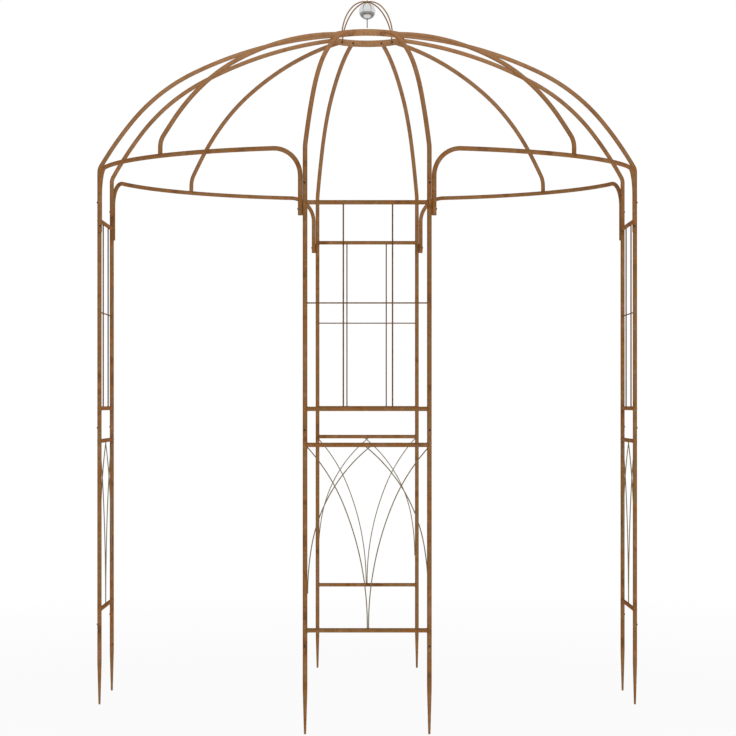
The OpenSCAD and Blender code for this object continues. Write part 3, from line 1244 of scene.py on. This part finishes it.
    def toe(self, start: Vector, heading: Vector, radius: float, step: float = 0.0001) -> Line:
        """Weld line round a bar or a rod where it runs into something thicker.

        Args:
            start: place in its middle, outside what it runs into.
            heading: the way that it runs.
            radius: its own radius.
            step: how closely the line lies to the surface.

        Returns:
            Points round it.
        """
        line = []
        for point in Pose(start, heading, Y_AXIS).ring(radius + step / 2, 32):
            while not self.buried(point):
                point = point + heading * step
            line.append(point)
        return line

    def welds(self) -> tuple[Paths, Paths]:
        """Weld lines of the panel.

        Returns:
            Those between tubes and bars, and those of thin rods.
        """
        plan, heavy, light = self.plan, Paths(), Paths()
        low, high = self.socket_z
        heights = evenly(high - self.bead_inset, low + self.bead_inset, 12)
        for hand in HANDS:
            way = X_AXIS * hand
            near = plan.front(hand * (plan.post_x - plan.tube_r - self.clear), 0.0)
            for z in self.bars_z:
                heavy.along(self.toe(near + UP * z, way, plan.bar_r), closed=True)
            light.along(self.toe(near + UP * self.level_z, way, self.level_d / 2), closed=True)
            for deep in (-self.strip_bead, self.strip_bead):
                reach = plan.plan_r * cos(self.seam_turn - plan.post_turn) + deep
                heavy.along([polar(reach, hand * self.seam_turn - 90, z) for z in heights])
        for start, way, radius in self.rod_ends():
            light.along(self.toe(start, way, radius), closed=True)
        return heavy, light.along(*self.spring_lines())

    def rod_ends(self) -> list[tuple[Vector, Vector, float]]:
        """Find where rods run into bars or posts.

        Returns:
            A place just before each end, the heading and the radius.
        """
        low, _, trellis, top = self.bars_z
        place, clear, thin = self.plan.front, self.plan.bar_r + self.clear, self.curve_d / 2
        ends = []
        for x in self.uprights_x:
            ends.append((place(x, trellis + clear), -UP, self.upright_d / 2))
            ends.append((place(x, top - clear), UP, self.upright_d / 2))
        outer, inner = self.tracery()
        ends += [(place(line[0].x, low + clear), -UP, thin) for line in inner]
        for line in outer + inner:
            before, free = [point for point in line if not self.near_end(point)][-2:]
            ends.append((free, (free - before).normalized(), thin))
        return ends

    def near_end(self, point: Vector) -> bool:
        """Tell whether a tracery rod touches the waist bar or, high up, a post.

        Args:
            point: place on the rod's middle line.

        Returns:
            True if it does there.
        """
        plan, waist, r = self.plan, self.waist_z[0], self.curve_d
        beside = abs(point.x) > plan.post_x - plan.tube_r - r
        high_up = point.z > waist - self.curve_spring
        return point.z > waist - plan.bar_r - r or (beside and high_up)

    def spring_lines(self) -> list[Line]:
        """Short runs of weld where the outer curves leave their posts.

        Returns:
            Two for each curve, one on either side.
        """
        lines, r = [], self.plan.tube_r
        (inside, beyond), (proud, aside) = self.spring_run, self.spring_bead
        for line in self.tracery()[0]:
            gaps = [(point, self.plan.post_x - abs(point.x)) for point in line[:20]]
            near = [point for point, gap in gaps if r - inside < gap < r + beyond]
            out = math.copysign(proud, near[0].x)
            for deep in (-aside, aside):
                lines.append([point + Vector((out, deep, 0.0)) for point in near])
        return lines

    def screws(self) -> list[tuple[Vector, Vector]]:
        """Screws in the posts and sockets of the panel.

        Returns:
            Place and direction of each.
        """
        plan, heads = self.plan, []
        for hand in HANDS:
            turn = hand * plan.post_turn - 90
            out = polar(1.0, turn)
            for z in (plan.foot_z, plan.mid_z, plan.rib_z):
                place = polar(plan.plan_r, turn, z + self.screw_rise)
                heads.append((place + out * plan.tube_r, out))
            turn = hand * self.socket_turn - 90
            out = polar(1.0, turn + hand * 90)
            place = polar(plan.plan_r, turn, self.socket_z[1] - self.socket_screw_drop)
            heads.append((place + out * plan.tube_r, out))
        return heads


@dataclass
class Rib:
    """A roof rib: an upright foot, a tight bend and three long arcs, up to the crown ring."""

    plan: Plan
    foot_r: float = 0.052
    foot_slope: float = 60.0
    middle_r: float = 0.840
    low_slope: float = 51.0
    high_slope: float = 27.0
    top_slope: float = 5.5
    end_run: float = 0.019
    end_heat: float = 0.15

    def line(self, foot: Vector, upright: float, run: float, inward: Vector) -> CentreLine:
        """Middle line of the rib.

        Args:
            foot: where it starts.
            upright: height over the foot where its bend starts.
            run: level distance from the foot to the ring.
            inward: level direction of the rib.

        Returns:
            The line, a little longer than it needs.
        """
        fs, ls, hs, ts = self.foot_slope, self.low_slope, self.high_slope, self.top_slope
        along = run - self.foot_r * (1 - sin(fs)) - self.middle_r * (sin(ls) - sin(hs))
        rise = self.plan.ring_z - foot.z - upright - self.foot_r * cos(fs)
        rise -= self.middle_r * (cos(hs) - cos(ls))
        a, b = sin(fs) - sin(ls), sin(hs) - sin(ts)
        c, d = cos(ls) - cos(fs), cos(ts) - cos(hs)
        lower_r = (along * d - rise * b) / (a * d - b * c)
        upper_r = (rise * a - along * c) / (a * d - b * c)
        line = CentreLine.beginning(foot, UP, inward.cross(UP)).go(upright)
        slopes = (90, fs, ls, hs, ts)
        for i, radius in enumerate((self.foot_r, lower_r, self.middle_r, upper_r)):
            line.bend(radius, slopes[i] - slopes[i + 1], inward)
        return line

    def skin(self, line: CentreLine, first: TubeEnd) -> Skin:
        """Surface of the rib along its middle line, cut to the ring's outer face.

        Args:
            line: middle line of the rib.
            first: how its lower end is made.

        Returns:
            The surface.
        """
        skin = Skin()
        tube = Tube(line, self.plan.tube_r, first, hot=(0.0,) if first is TubeEnd.BURIED else ())
        reach = line.length - self.end_run
        profile = [pair for pair in tube.profile() if pair[0] < reach]
        rings = [line.at(along).ring(radius) for along, radius in profile]
        end = line.at(reach)
        last = end.ring(self.plan.tube_r)
        cut = [point + end.heading * self.to_ring(point, end.heading) for point in last]
        heats = [tube.scorch(along) for along, _ in profile]
        skin.loft([*rings, last, cut], (*heats, 0.0, self.end_heat))
        return skin

    def to_ring(self, point: Vector, heading: Vector, sunk: float = 0.0006) -> float:
        """Distance from a point to a little inside the ring's outer face.

        Args:
            point: the point.
            heading: direction that it is measured along.
            sunk: how far inside the face it ends.

        Returns:
            The distance.
        """
        a = heading.x**2 + heading.y**2
        b = point.x * heading.x + point.y * heading.y
        c = point.x**2 + point.y**2 - (self.plan.ring_r - sunk) ** 2
        return (-b - math.sqrt(b * b - a * c)) / a


@dataclass
class Doorway:
    """One doorway: a bent tube over two sockets, and the middle rib that stands on it.

    It is drawn with its middle on +X.
    """

    plan: Plan
    leg_turn: float
    leg_foot_z: float
    span_r: float = 1.135
    corner_r: float = 0.115
    rib_upright: float = 0.034
    rib_foot_r: float = 0.085
    rib_foot_slope: float = 53.0
    rib_middle_r: float = 1.075

    @property
    def half_span(self) -> float:
        """Half of the angle that the level part turns through.

        Returns:
            The angle, which follows from the sockets' places and the two radii.
        """
        leg_v = self.plan.plan_r * sin(self.leg_turn)
        reach = math.hypot(self.span_r, self.corner_r)
        return math.degrees(math.asin(leg_v / reach) - math.atan(self.corner_r / self.span_r))

    @property
    def middle_x(self) -> float:
        """Distance of the span's middle from the Z axis."""
        leg_u, half = self.plan.plan_r * cos(self.leg_turn), self.half_span
        return leg_u + self.corner_r * sin(half) - self.span_r * cos(half) + self.span_r

    def arch(self) -> Skin:
        """The bent tube from socket to socket.

        Returns:
            Its surface.
        """
        plan, half = self.plan, self.half_span
        leg = plan.arch_z - self.corner_r - self.leg_foot_z
        foot = polar(plan.plan_r, -self.leg_turn, self.leg_foot_z)
        line = CentreLine.beginning(foot, UP, X_AXIS).go(leg)
        line.bend(self.corner_r, 90, Vector((sin(half), cos(half), 0.0)))
        line.bend(self.span_r, 2 * half, -X_AXIS)
        line.bend(self.corner_r, 90, -UP).go(leg)
        return covered(Tube(line, plan.tube_r, hot=(line.length / 2,)))

    def rib(self) -> Skin:
        """The middle rib, from the top of the arch to the ring.

        Returns:
            Its surface.
        """
        rib = Rib(self.plan, self.rib_foot_r, self.rib_foot_slope, self.rib_middle_r)
        foot = Vector((self.middle_x, 0.0, self.plan.arch_z))
        line = rib.line(foot, self.rib_upright, foot.x - self.plan.ring_r, -X_AXIS)
        return rib.skin(line, TubeEnd.BURIED)

    def saddle(self, count: int = 40) -> Line:
        """Weld line round the foot of the middle rib.

        Args:
            count: how many points it has.

        Returns:
            The points.
        """
        r, middle = self.plan.tube_r, Vector((self.middle_x, 0.0, self.plan.arch_z))
        turns = evenly(0, 360, count)[:-1]
        return [middle + Vector((r * cos(a), r * sin(a), r * abs(sin(a)))) for a in turns]


@dataclass
class Crown:
    """The flat-bar ring, the two crossed hoops over it, the mirror globe and its pin."""

    plan: Plan
    band_t: float = 0.004
    band_edge: float = 0.0009
    seam_turn: float = 112.0
    seam_inset: float = 0.0006
    seam_proud: float = 0.0002
    hoop_turns: Pair = (45.0, 135.0)
    hoop_rod_r: float = 0.003
    hoop_side_more: float = 0.025
    hoop_top_less: float = 0.0135
    tab_t: float = 0.0025
    tab_half: float = 0.0055
    tab_rise: float = 0.01225
    tab_square: float = 7.0
    tip_half: float = 0.0009
    neck_rise: float = 0.005
    rod_rise: float = 0.004
    hub_r: float = 0.007
    hub_edge: float = 0.0008
    globe_seam: Pair = (0.0003, 0.00012)
    pin_r: float = 0.0025
    pin_taper: float = 0.18
    pitch: float = 0.0008
    thread: float = 0.00035

    def band(self, steps: int = 144) -> Skin:
        """Flat bar rolled into a ring, with eased edges.

        Args:
            steps: steps round it.

        Returns:
            Its surface.
        """
        t, half, cut = self.band_t / 2, self.plan.band_high / 2, eased(self.band_edge)
        section = []
        for x, z in ((-1, -1), (-1, 1), (1, 1), (1, -1)):
            section += [(x * (t - a), z * (half - b)) for a, b in (cut[::-1] if x == z else cut)]
        middle = self.plan.ring_r - t
        turns = evenly(0, 360, steps)[:-1]
        rings = [[polar(middle + x, a, self.plan.ring_z + z) for x, z in section] for a in turns]
        skin = Skin()
        skin.loft(rings, joined=True)
        return skin

    def seam(self) -> list[Line]:
        """Weld lines across the band where its ends meet.

        Returns:
            One outside and one inside.
        """
        half, z = self.plan.band_high / 2 - self.seam_inset, self.plan.ring_z
        outer = self.plan.ring_r + self.seam_proud
        inner = outer - self.band_t - 2 * self.seam_proud
        heights = evenly(z - half, z + half, 12)
        return [[polar(r, self.seam_turn, z) for z in heights] for r in (outer, inner)]

    def hoop_side(self) -> list[tuple[float, float, float, float]]:
        """Half of a hoop's middle line, from above its tab to its top.

        Returns:
            Distance from the Z axis, height, and the two parts of the inward direction.
        """
        half = self.plan.ring_r - self.band_t - self.hoop_rod_r
        more, less = self.hoop_side_more, self.hoop_top_less
        turn = math.degrees(math.acos(more / (more + less)))
        top_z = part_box("finial_hoops")[1].z - self.hoop_rod_r - (half - less)
        low_z = top_z - (more + less) * sin(turn)
        start = self.plan.ring_z + self.tab_rise + self.rod_rise
        foot = math.degrees(math.asin((start - low_z) / (half + more)))
        line = []
        for x, z, r, first, last, steps in (
            (-more, low_z, half + more, foot, turn, 14),
            (0.0, top_z, half - less, turn, 90.0, 15),
        ):
            for a in evenly(first, last, steps)[:-1]:
                line.append((x + r * cos(a), z + r * sin(a), -cos(a), -sin(a)))
        return line

    def tab(self, tip_z: float, rod_foot: Pair) -> list[tuple[float, ...]]:
        """Cross-sections of a hoop's flat end and of the neck where it turns to round rod.

        Args:
            tip_z: height of its round tip.
            rod_foot: distance from the Z axis and height of the rod over it.

        Returns:
            Distance from the Z axis, height, half width, half thickness and squareness of each.
        """
        r, eye_z = self.plan.ring_r - self.band_t - self.tab_t / 2, self.plan.ring_z
        rod, thin, wide = self.hoop_rod_r, self.tab_t / 2, self.tab_half
        steps = []
        for t in (0.0, 0.04, 0.12, 0.25, 0.4, 0.6, 0.8, 1.0):
            z = tip_z + (eye_z - tip_z) * t
            tip = math.sqrt(max(wide**2 - (eye_z - z) ** 2, self.tip_half**2))
            steps.append((r, z, min(tip, wide), thin, self.tab_square))
        neck_z = eye_z + self.neck_rise
        for t in (0.0, 0.25, 0.5, 0.75):
            ease = t * t * (3 - 2 * t)
            z = neck_z + (rod_foot[1] - neck_z) * t
            size = (wide + (rod - wide) * ease, thin + (rod - thin) * ease)
            square = self.tab_square + (ROUND - self.tab_square) * ease
            steps.append((r + (rod_foot[0] - r) * ease, z, *size, square))
        return steps

    def hoop(self, skin: Skin, turn: float) -> None:
        """One hoop of round rod whose ends are forged to flat tabs with round tips.

        Args:
            skin: surface that gets it.
            turn: turn of the hoop's plane about the Z axis.
        """
        low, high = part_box("finial_hoops")
        rod, out = self.hoop_rod_r, polar(1.0, turn)
        across = Vector((-out.y, out.x, 0.0))
        side = self.hoop_side()
        steps = [(r, z, -1.0, 0.0, *shape) for r, z, *shape in self.tab(low.z, side[0][:2])]
        steps += [(*step, rod, rod, ROUND) for step in side]
        front, back = [], []
        for r, z, inward, down, wide, thick, square in steps:
            for rings, way in ((front, out), (back, -out)):
                middle, in_way = way * r + UP * z, way * inward + UP * down
                rings.append(self.section(middle, in_way, across, (thick, wide), square))
        peak = self.section(UP * (high.z - rod), -UP, across, (rod, rod), ROUND)
        skin.loft([*front, peak, *reversed(back)])

    @staticmethod
    def section(middle: Vector, inward: Vector, across: Vector, size: Pair, square: float) -> Line:
        """Cross-section from round to flat, as a superellipse.

        Args:
            middle: its middle.
            inward: direction of its thickness.
            across: direction of its width.
            size: half of its thickness and half of its width.
            square: ROUND, or more for squarer corners.

        Returns:
            Points of the section.
        """
        points = []
        for angle in range(9, 360, 18):
            x, y = (
                math.copysign(abs(part) ** (2 / square), part) * half
                for part, half in zip((cos(angle), sin(angle)), size)
            )
            points.append(middle + inward * x + across * y)
        return points

    def hoops(self, boss_sides: int = 32) -> Skin:
        """Both hoops and the turned boss where they cross.

        Args:
            boss_sides: sides of the boss.

        Returns:
            Their surface.
        """
        skin = Skin()
        for turn in self.hoop_turns:
            self.hoop(skin, turn)
        r, tall = self.hub_r, 2 * self.hoop_rod_r
        foot = Pose(UP * (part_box("finial_hoops")[1].z - tall), UP, X_AXIS)
        edge = [(out, r - less) for out, less in eased(self.hub_edge)]
        profile = edge + [(tall - height, radius) for height, radius in reversed(edge)]
        skin.lathe(profile, boss_sides, foot)
        return skin

    def globe(self, steps: int = 72, sides: int = 96) -> Skin:
        """Mirror globe, pressed in two halves with a fine seam round its middle.

        Args:
            steps: steps from pole to pole.
            sides: sides round it.

        Returns:
            Its surface.
        """
        low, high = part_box("finial_ball")
        r = (high.z - low.z) / 2
        profile = [(r * sin(a), r * cos(a)) for a in evenly(-90, 90, steps)[1:-1] if a]
        wide, deep = self.globe_seam
        rim = [(-wide, r - deep / 12), (0.0, r - deep), (wide, r - deep / 12)]
        cut = len(profile) // 2
        skin = Skin()
        skin.lathe(profile[:cut] + rim + profile[cut:], sides, Pose((low + high) / 2, UP, X_AXIS))
        return skin

    def pin(self, count: int = 20) -> Skin:
        """Threaded pin through the globe and the boss.

        Args:
            count: points to a turn of its thread.

        Returns:
            Its surface.
        """
        low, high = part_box("finial_pin")
        root = self.pin_r - self.thread
        shape = (self.pin_r, self.pin_r, root, root)
        rows = int((high.z - low.z) / self.pitch) * 4 + 5
        skin, width = Skin(), count + 1
        for row in range(rows):
            for j in range(width):
                climb = (row + 4 * j / count) / 4 * self.pitch - self.pitch
                z = min(max(low.z + climb, low.z), high.z)
                inside = min(z - low.z, high.z - z) / (1.5 * self.pitch)
                ease = min(1.0, 1 - self.pin_taper + self.pin_taper * inside)
                skin.points.append(polar(shape[row % 4] * ease, 360 * j / count, z))
        for row in range(rows - 1):
            for a in range(row * width, row * width + count):
                skin.faces.append((a, a + 1, a + width + 1, a + width))
        skin.faces.append(tuple(reversed(range(count))))
        skin.faces.append(tuple((rows - 1) * width + j for j in range(count)))
        skin.heat = [0.0] * len(skin.points)
        return skin

    def screws(self) -> list[tuple[Vector, Vector]]:
        """Screws inside the band: one for each hoop tab.

        Returns:
            Place and direction of each.
        """
        r, z = self.plan.ring_r - self.band_t - self.tab_t, self.plan.ring_z
        turns = [turn + half for half in (0, 180) for turn in self.hoop_turns]
        return [(polar(r, turn, z), -polar(1.0, turn)) for turn in turns]


def screw_head(skirt: float = 0.45, socket: float = 0.33, sunk: float = 0.55) -> Object:
    """Make the low button head with a hexagon socket that the tree repeats.

    Args:
        skirt: how far it reaches below its point.
        socket: width of its socket.
        sunk: depth of its socket.

    Returns:
        The head, one unit across and one unit high.
    """
    outer = ((-skirt, 0.5), (0.08, 0.5), (0.3, 0.485), (0.6, 0.42), (0.82, 0.33), (0.95, 0.25))
    turns = evenly(0, 360, 24)[:-1]
    rings = [[polar(r, a, z) for a in turns] for z, r in outer]
    for z, grow in ((1.0, 1.08), (0.97, 1.0), (1.0 - sunk, 1.0)):
        rings.append([polar(socket / 2 * grow / cos(a % 60 - 30), a, z) for a in turns])
    skin = Skin()
    skin.loft(rings)
    return skin.piece("screw_head_template", SCREW_STEEL)


@dataclass
class Pavilion:
    """The whole pavilion, built sub-assembly by sub-assembly."""

    plan: Plan
    rods: Maker = field(default_factory=rod_maker)
    beads: Maker = field(default_factory=weld_maker)
    heads: Maker = field(default_factory=screw_maker)
    rib_upright: float = 0.164
    rib_end_gap: float = 0.134
    screw_d: float = 0.0085
    screw_h: float = 0.0026
    tube_bead_r: float = 0.0014
    rod_bead_r: float = 0.0009
    seam_bead_r: float = 0.0012
    ripple_pitch: float = 1.4
    ripple_depth: float = 0.12
    bead_seed: int = 3
    screw_seed: int = 5

    def __post_init__(self) -> None:
        """Set out the sub-assemblies."""
        self.panel = Panel(self.plan)
        self.doorway = Doorway(self.plan, 45 - self.panel.socket_turn, self.panel.socket_z[1])
        self.crown = Crown(self.plan)

    def build_panels(self) -> None:
        """Build the posts, bars and rods of the four panels."""
        panel = self.panel
        tubes = {
            "spikes": ("ground_spikes", panel.spikes()),
            "lower_posts": ("lower_post_tubes", panel.lower_posts()),
            "upper_posts": ("upper_post_tubes", panel.upper_posts()),
            "cross_bars": ("welded_bars", panel.cross_bars()),
        }
        uprights, level = panel.trellis()
        outer, inner = panel.tracery()
        rods = (
            ("trellis_uprights", uprights, panel.upright_d, ROD_RUST, ["trellis"]),
            ("trellis_level_rod", level, panel.level_d, ROD_RUST, []),
            ("tracery_rods", Paths().along(*outer, *inner), panel.curve_d, CURVE_RUST, ["tracery"]),
        )
        for side in Side:
            for node, (name, skin) in tubes.items():
                piece = skin.piece(side.own(name), TUBE_RUST, side.turn)
                settle(piece, TUBE_RUST.slot, side.own(node))
            for name, paths, across, finish, nodes in rods:
                settings = {"Rod Diameter": across, "Sides": ROD_SIDES}
                settings["Material"] = finish.material()
                mesh = paths.mesh(side.own(name), (side.turn,))
                piece = self.rods.run(side.own(name), mesh, settings)
                settle(piece, finish.slot, *(side.own(node) for node in nodes))

    def rib_end(self) -> tuple[Vector, Vector]:
        """Find where the right rib of the front panel meets the ring, in plan.

        Returns:
            The place, and the way there from the rib's foot.
        """
        across = self.rib_end_gap / 2
        end = Vector((across, -math.sqrt(self.plan.ring_r**2 - across**2), 0.0))
        return end, end - self.plan.front(self.plan.post_x, 0.0)

    def build_ribs(self) -> None:
        """Build the eight ribs that stand on the posts."""
        way, rib, plan = self.rib_end()[1], Rib(self.plan), self.plan
        gap = self.panel.joint_gap
        skins = {}
        for name, hand in (("a", -1), ("b", 1)):
            foot = plan.front(hand * plan.post_x, plan.rib_z + gap)
            inward = Vector((hand * way.x, way.y, 0.0)).normalized()
            line = rib.line(foot, self.rib_upright - gap, way.length, inward)
            skins[name] = rib.skin(line, TubeEnd.MOUTH)
        for side in Side:
            for name, skin in skins.items():
                piece = skin.piece(side.own(f"rib_tube_{name}"), TUBE_RUST, side.turn)
                settle(piece, TUBE_RUST.slot, side.own(f"rib_{name}"))

    def build_doorways(self) -> None:
        """Build the four doorway tubes and their middle ribs."""
        arch, rib = self.doorway.arch(), self.doorway.rib()
        skins = {"arch": ("doorway_tube", arch), "rib": ("doorway_rib_tube", rib)}
        for k in range(1, 5):
            for node, (name, skin) in skins.items():
                piece = skin.piece(f"{name}_{k}", TUBE_RUST, 90.0 * k - 135.0)
                settle(piece, TUBE_RUST.slot, f"door_{node}_{k}")

    def build_crown(self) -> None:
        """Build the ring, the hoops, the globe and its pin."""
        crown = self.crown
        for name, node, skin, finish in (
            ("crown_band", "crown_ring", crown.band(), BAND_RUST),
            ("crossed_hoops", "finial_hoops", crown.hoops(), ROD_RUST),
            ("mirror_globe", "finial_ball", crown.globe(), GLOBE_STEEL),
            ("threaded_pin", "finial_pin", crown.pin(), PIN_STEEL),
        ):
            settle(skin.piece(name, finish), finish.slot, node)

    def build_screws(self) -> None:
        """Set all the screws."""
        end = self.rib_end()[0]
        inner = self.plan.ring_r - self.crown.band_t
        ways = [Vector((hand * end.x, end.y, 0.0)).normalized() for hand in HANDS]
        one = self.panel.screws() + [(way * inner + UP * self.plan.ring_z, -way) for way in ways]
        heads = []
        for side in Side:
            spin = about_z(side.turn)
            heads += [(spin @ point, spin @ way) for point, way in one]
        heads += self.crown.screws()
        mesh = bpy.data.meshes.new("screw_points")
        mesh.from_pydata([point for point, _ in heads], [], [])
        facing = mesh.attributes.new("facing", "FLOAT_VECTOR", "POINT")
        facing.data.foreach_set("vector", [value for _, way in heads for value in way])
        template = screw_head()
        settings = {
            "Head": template,
            "Head Diameter": self.screw_d,
            "Head Height": self.screw_h,
            "Seed": self.screw_seed,
            "Material": SCREW_STEEL.material(),
        }
        piece = self.heads.run("button_screws", mesh, settings)
        bpy.data.objects.remove(template)
        piece.data.set_sharp_from_angle(angle=SHARP_EDGE)
        settle(piece, SCREW_STEEL.slot, "screws")

    def build_welds(self) -> None:
        """Lay the weld beads of the whole pavilion."""
        heavy, light = self.panel.welds()
        spin = about_z(-45.0)
        heavy.along([spin @ point for point in self.doorway.saddle()], closed=True)
        seam = Paths().along(*self.crown.seam())
        turns = tuple(side.turn for side in Side)
        for name, paths, places, radius, ripple_r in (
            ("tube_welds", heavy, turns, self.tube_bead_r, self.tube_bead_r),
            ("rod_welds", light, turns, self.rod_bead_r, self.rod_bead_r),
            ("band_seam_weld", seam, (0.0,), self.seam_bead_r, self.rod_bead_r),
        ):
            settings = {
                "Bead Radius": radius,
                "Ripple Pitch": ripple_r * self.ripple_pitch,
                "Ripple Depth": self.ripple_depth,
                "Seed": self.bead_seed,
                "Material": WELD_RUST.material(),
            }
            settle(self.beads.run(name, paths.mesh(name, places), settings), WELD_RUST.slot)


@dataclass
class Studio:
    """Pale floor, soft light and the camera.

    key and the fills are suns: their turn from the front, their height and their strength.
    """

    floor_half: float = 30.0
    lens: float = 114.43
    sensor: float = 36.0
    shift: Pair = (0.0011, 0.0484)
    stand: Triple = (0.0, -10.595, 1.330)
    sky: float = 0.14
    key: Triple = (6.0, 13.0, 1.5)
    right_fill: Triple = (80.0, 25.0, 0.12)
    left_fill: Triple = (-100.0, 25.0, 0.08)
    lamp_width: float = 30.0
    softbox_power: float = 18.0
    softbox_size: float = 1.6
    softbox_stand: Triple = (0.0, -1.0, 4.6)
    softbox_tip: float = 28.0
    # Painted shade: the floor's glow as mirrors see it, near and far.
    mirrored_floor: Pair = (0.95, 0.42)
    mirrored_reach: Pair = (1.6, 3.0)
    bounce: float = 0.75
    seen_glow: Pair = (0.94, 1.0)
    seen_reach: Pair = (1.5, 6.0)

    def camera(self) -> None:
        """Put up the camera: level, straight in front of the front panel."""
        data = bpy.data.cameras.new("camera")
        data.lens, data.sensor_width = self.lens, self.sensor
        data.shift_x, data.shift_y = self.shift
        camera = put_up("camera", data)
        camera.location = self.stand
        camera.rotation_euler = (math.pi / 2, 0.0, 0.0)
        bpy.context.scene.camera = camera

    def lamps(self) -> None:
        """Hang the soft lamps: weak suns all round and, over the roof's front, a softbox."""
        suns = {"key": self.key, "right_fill": self.right_fill, "left_fill": self.left_fill}
        for name, (around, above, strength) in suns.items():
            data = bpy.data.lights.new(name, "SUN")
            data.energy, data.angle = strength, math.radians(self.lamp_width)
            self.hang(data, (0.0, 0.0, 0.0), (90 - above, around))
        data = bpy.data.lights.new("overhead_softbox", "AREA")
        data.energy, data.size = self.softbox_power, self.softbox_size
        self.hang(data, self.softbox_stand, (self.softbox_tip, 0.0))

    @staticmethod
    def hang(data: Light, place: Triple, turn: Pair) -> None:
        """Hang a lamp that lights things but is not seen, itself or mirrored.

        Args:
            data: the lamp.
            place: where it hangs.
            turn: how far it is tipped forwards and turned round.
        """
        lamp = put_up(data.name, data)
        lamp.location = place
        lamp.rotation_euler = (math.radians(turn[0]), 0.0, math.radians(turn[1]))
        lamp.visible_camera = lamp.visible_glossy = False

    def backdrop(self) -> None:
        """White surroundings for the camera, mirrors and glass, and a softer light for the rest."""
        world = bpy.data.worlds.new("studio")
        world.use_nodes = True
        tree = world.node_tree
        rays = add(tree, "ShaderNodeLightPath").outputs
        seen = rays["Is Camera Ray"]
        for name in ("Is Glossy Ray", "Is Transmission Ray"):
            seen = add(tree, "ShaderNodeMath", {0: seen, 1: rays[name]}, operation="MAXIMUM")
        level = add(tree, "ShaderNodeMapRange", {0: seen, 3: self.sky, 4: 1.0})
        feed(tree, tree.nodes["Background"], {"Color": (1.0, 1.0, 1.0, 1.0), "Strength": level})
        bpy.context.scene.world = world

    def floor_material(self) -> Material:
        """Matt white that glows, so that it shows as white with a faint shadow.

        Mirrors see the floor with painted shade that darkens further out, as a real room's floor
        does away from its lamps.

        Returns:
            The material.
        """
        material = bpy.data.materials.new("pale_studio_floor")
        material.use_nodes = True
        tree = material.node_tree
        tree.nodes.clear()
        rays = add(tree, "ShaderNodeLightPath").outputs
        place = add(tree, "ShaderNodeTexCoord").outputs["Object"]
        away = add(tree, "ShaderNodeVectorMath", {0: place}, operation="LENGTH").outputs["Value"]
        ranges = []
        for (near, far), (first, last) in (
            (self.mirrored_reach, self.mirrored_floor),
            (self.seen_reach, self.seen_glow),
        ):
            inputs = {0: away, 1: near, 2: far, 3: first, 4: last}
            ranges.append(add(tree, "ShaderNodeMapRange", inputs))
        mirrored, seen = ranges
        # Painted shade for mirrors: the glow that they see fades further out.
        inputs = {0: rays["Is Glossy Ray"], 3: 1.0, 4: mirrored}
        glow = {"Strength": add(tree, "ShaderNodeMapRange", inputs)}
        inputs = {0: rays["Is Camera Ray"], 3: self.bounce, 4: seen}
        inputs = {0: add(tree, "ShaderNodeMapRange", inputs), 1: rays["Is Glossy Ray"]}
        share = add(tree, "ShaderNodeMath", inputs, operation="MAXIMUM")
        matt = add(tree, "ShaderNodeBsdfDiffuse", {"Color": (0.9, 0.9, 0.9, 1.0)})
        inputs = {0: share, 1: matt, 2: add(tree, "ShaderNodeEmission", glow)}
        both = add(tree, "ShaderNodeMixShader", inputs)
        add(tree, "ShaderNodeOutputMaterial", {0: both})
        return material

    def floor(self) -> None:
        """Plain pale floor that keeps the pavilion's soft shadow."""
        half = self.floor_half
        mesh = bpy.data.meshes.new("studio_floor")
        corners = [(-half, -half, 0), (half, -half, 0), (half, half, 0), (-half, half, 0)]
        mesh.from_pydata(corners, [], [(0, 1, 2, 3)])
        mesh.materials.append(self.floor_material())
        floor = put_up("studio_floor", mesh)

    def set_up(self) -> None:
        """Set up the whole studio."""
        self.camera()
        self.lamps()
        self.backdrop()
        self.floor()
        bpy.context.scene.view_settings.view_transform = "Standard"


def main() -> None:
    """Dress the pavilion, piece by piece, and set up the studio."""
    logging.basicConfig(level=logging.INFO, format="%(name)s: %(message)s")
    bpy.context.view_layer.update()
    pavilion = Pavilion(Plan.measured(bar_r=0.009))
    pavilion.build_panels()
    pavilion.build_ribs()
    pavilion.build_doorways()
    pavilion.build_crown()
    pavilion.build_screws()
    pavilion.build_welds()
    Studio().set_up()


if __name__ == "__main__":
    main()
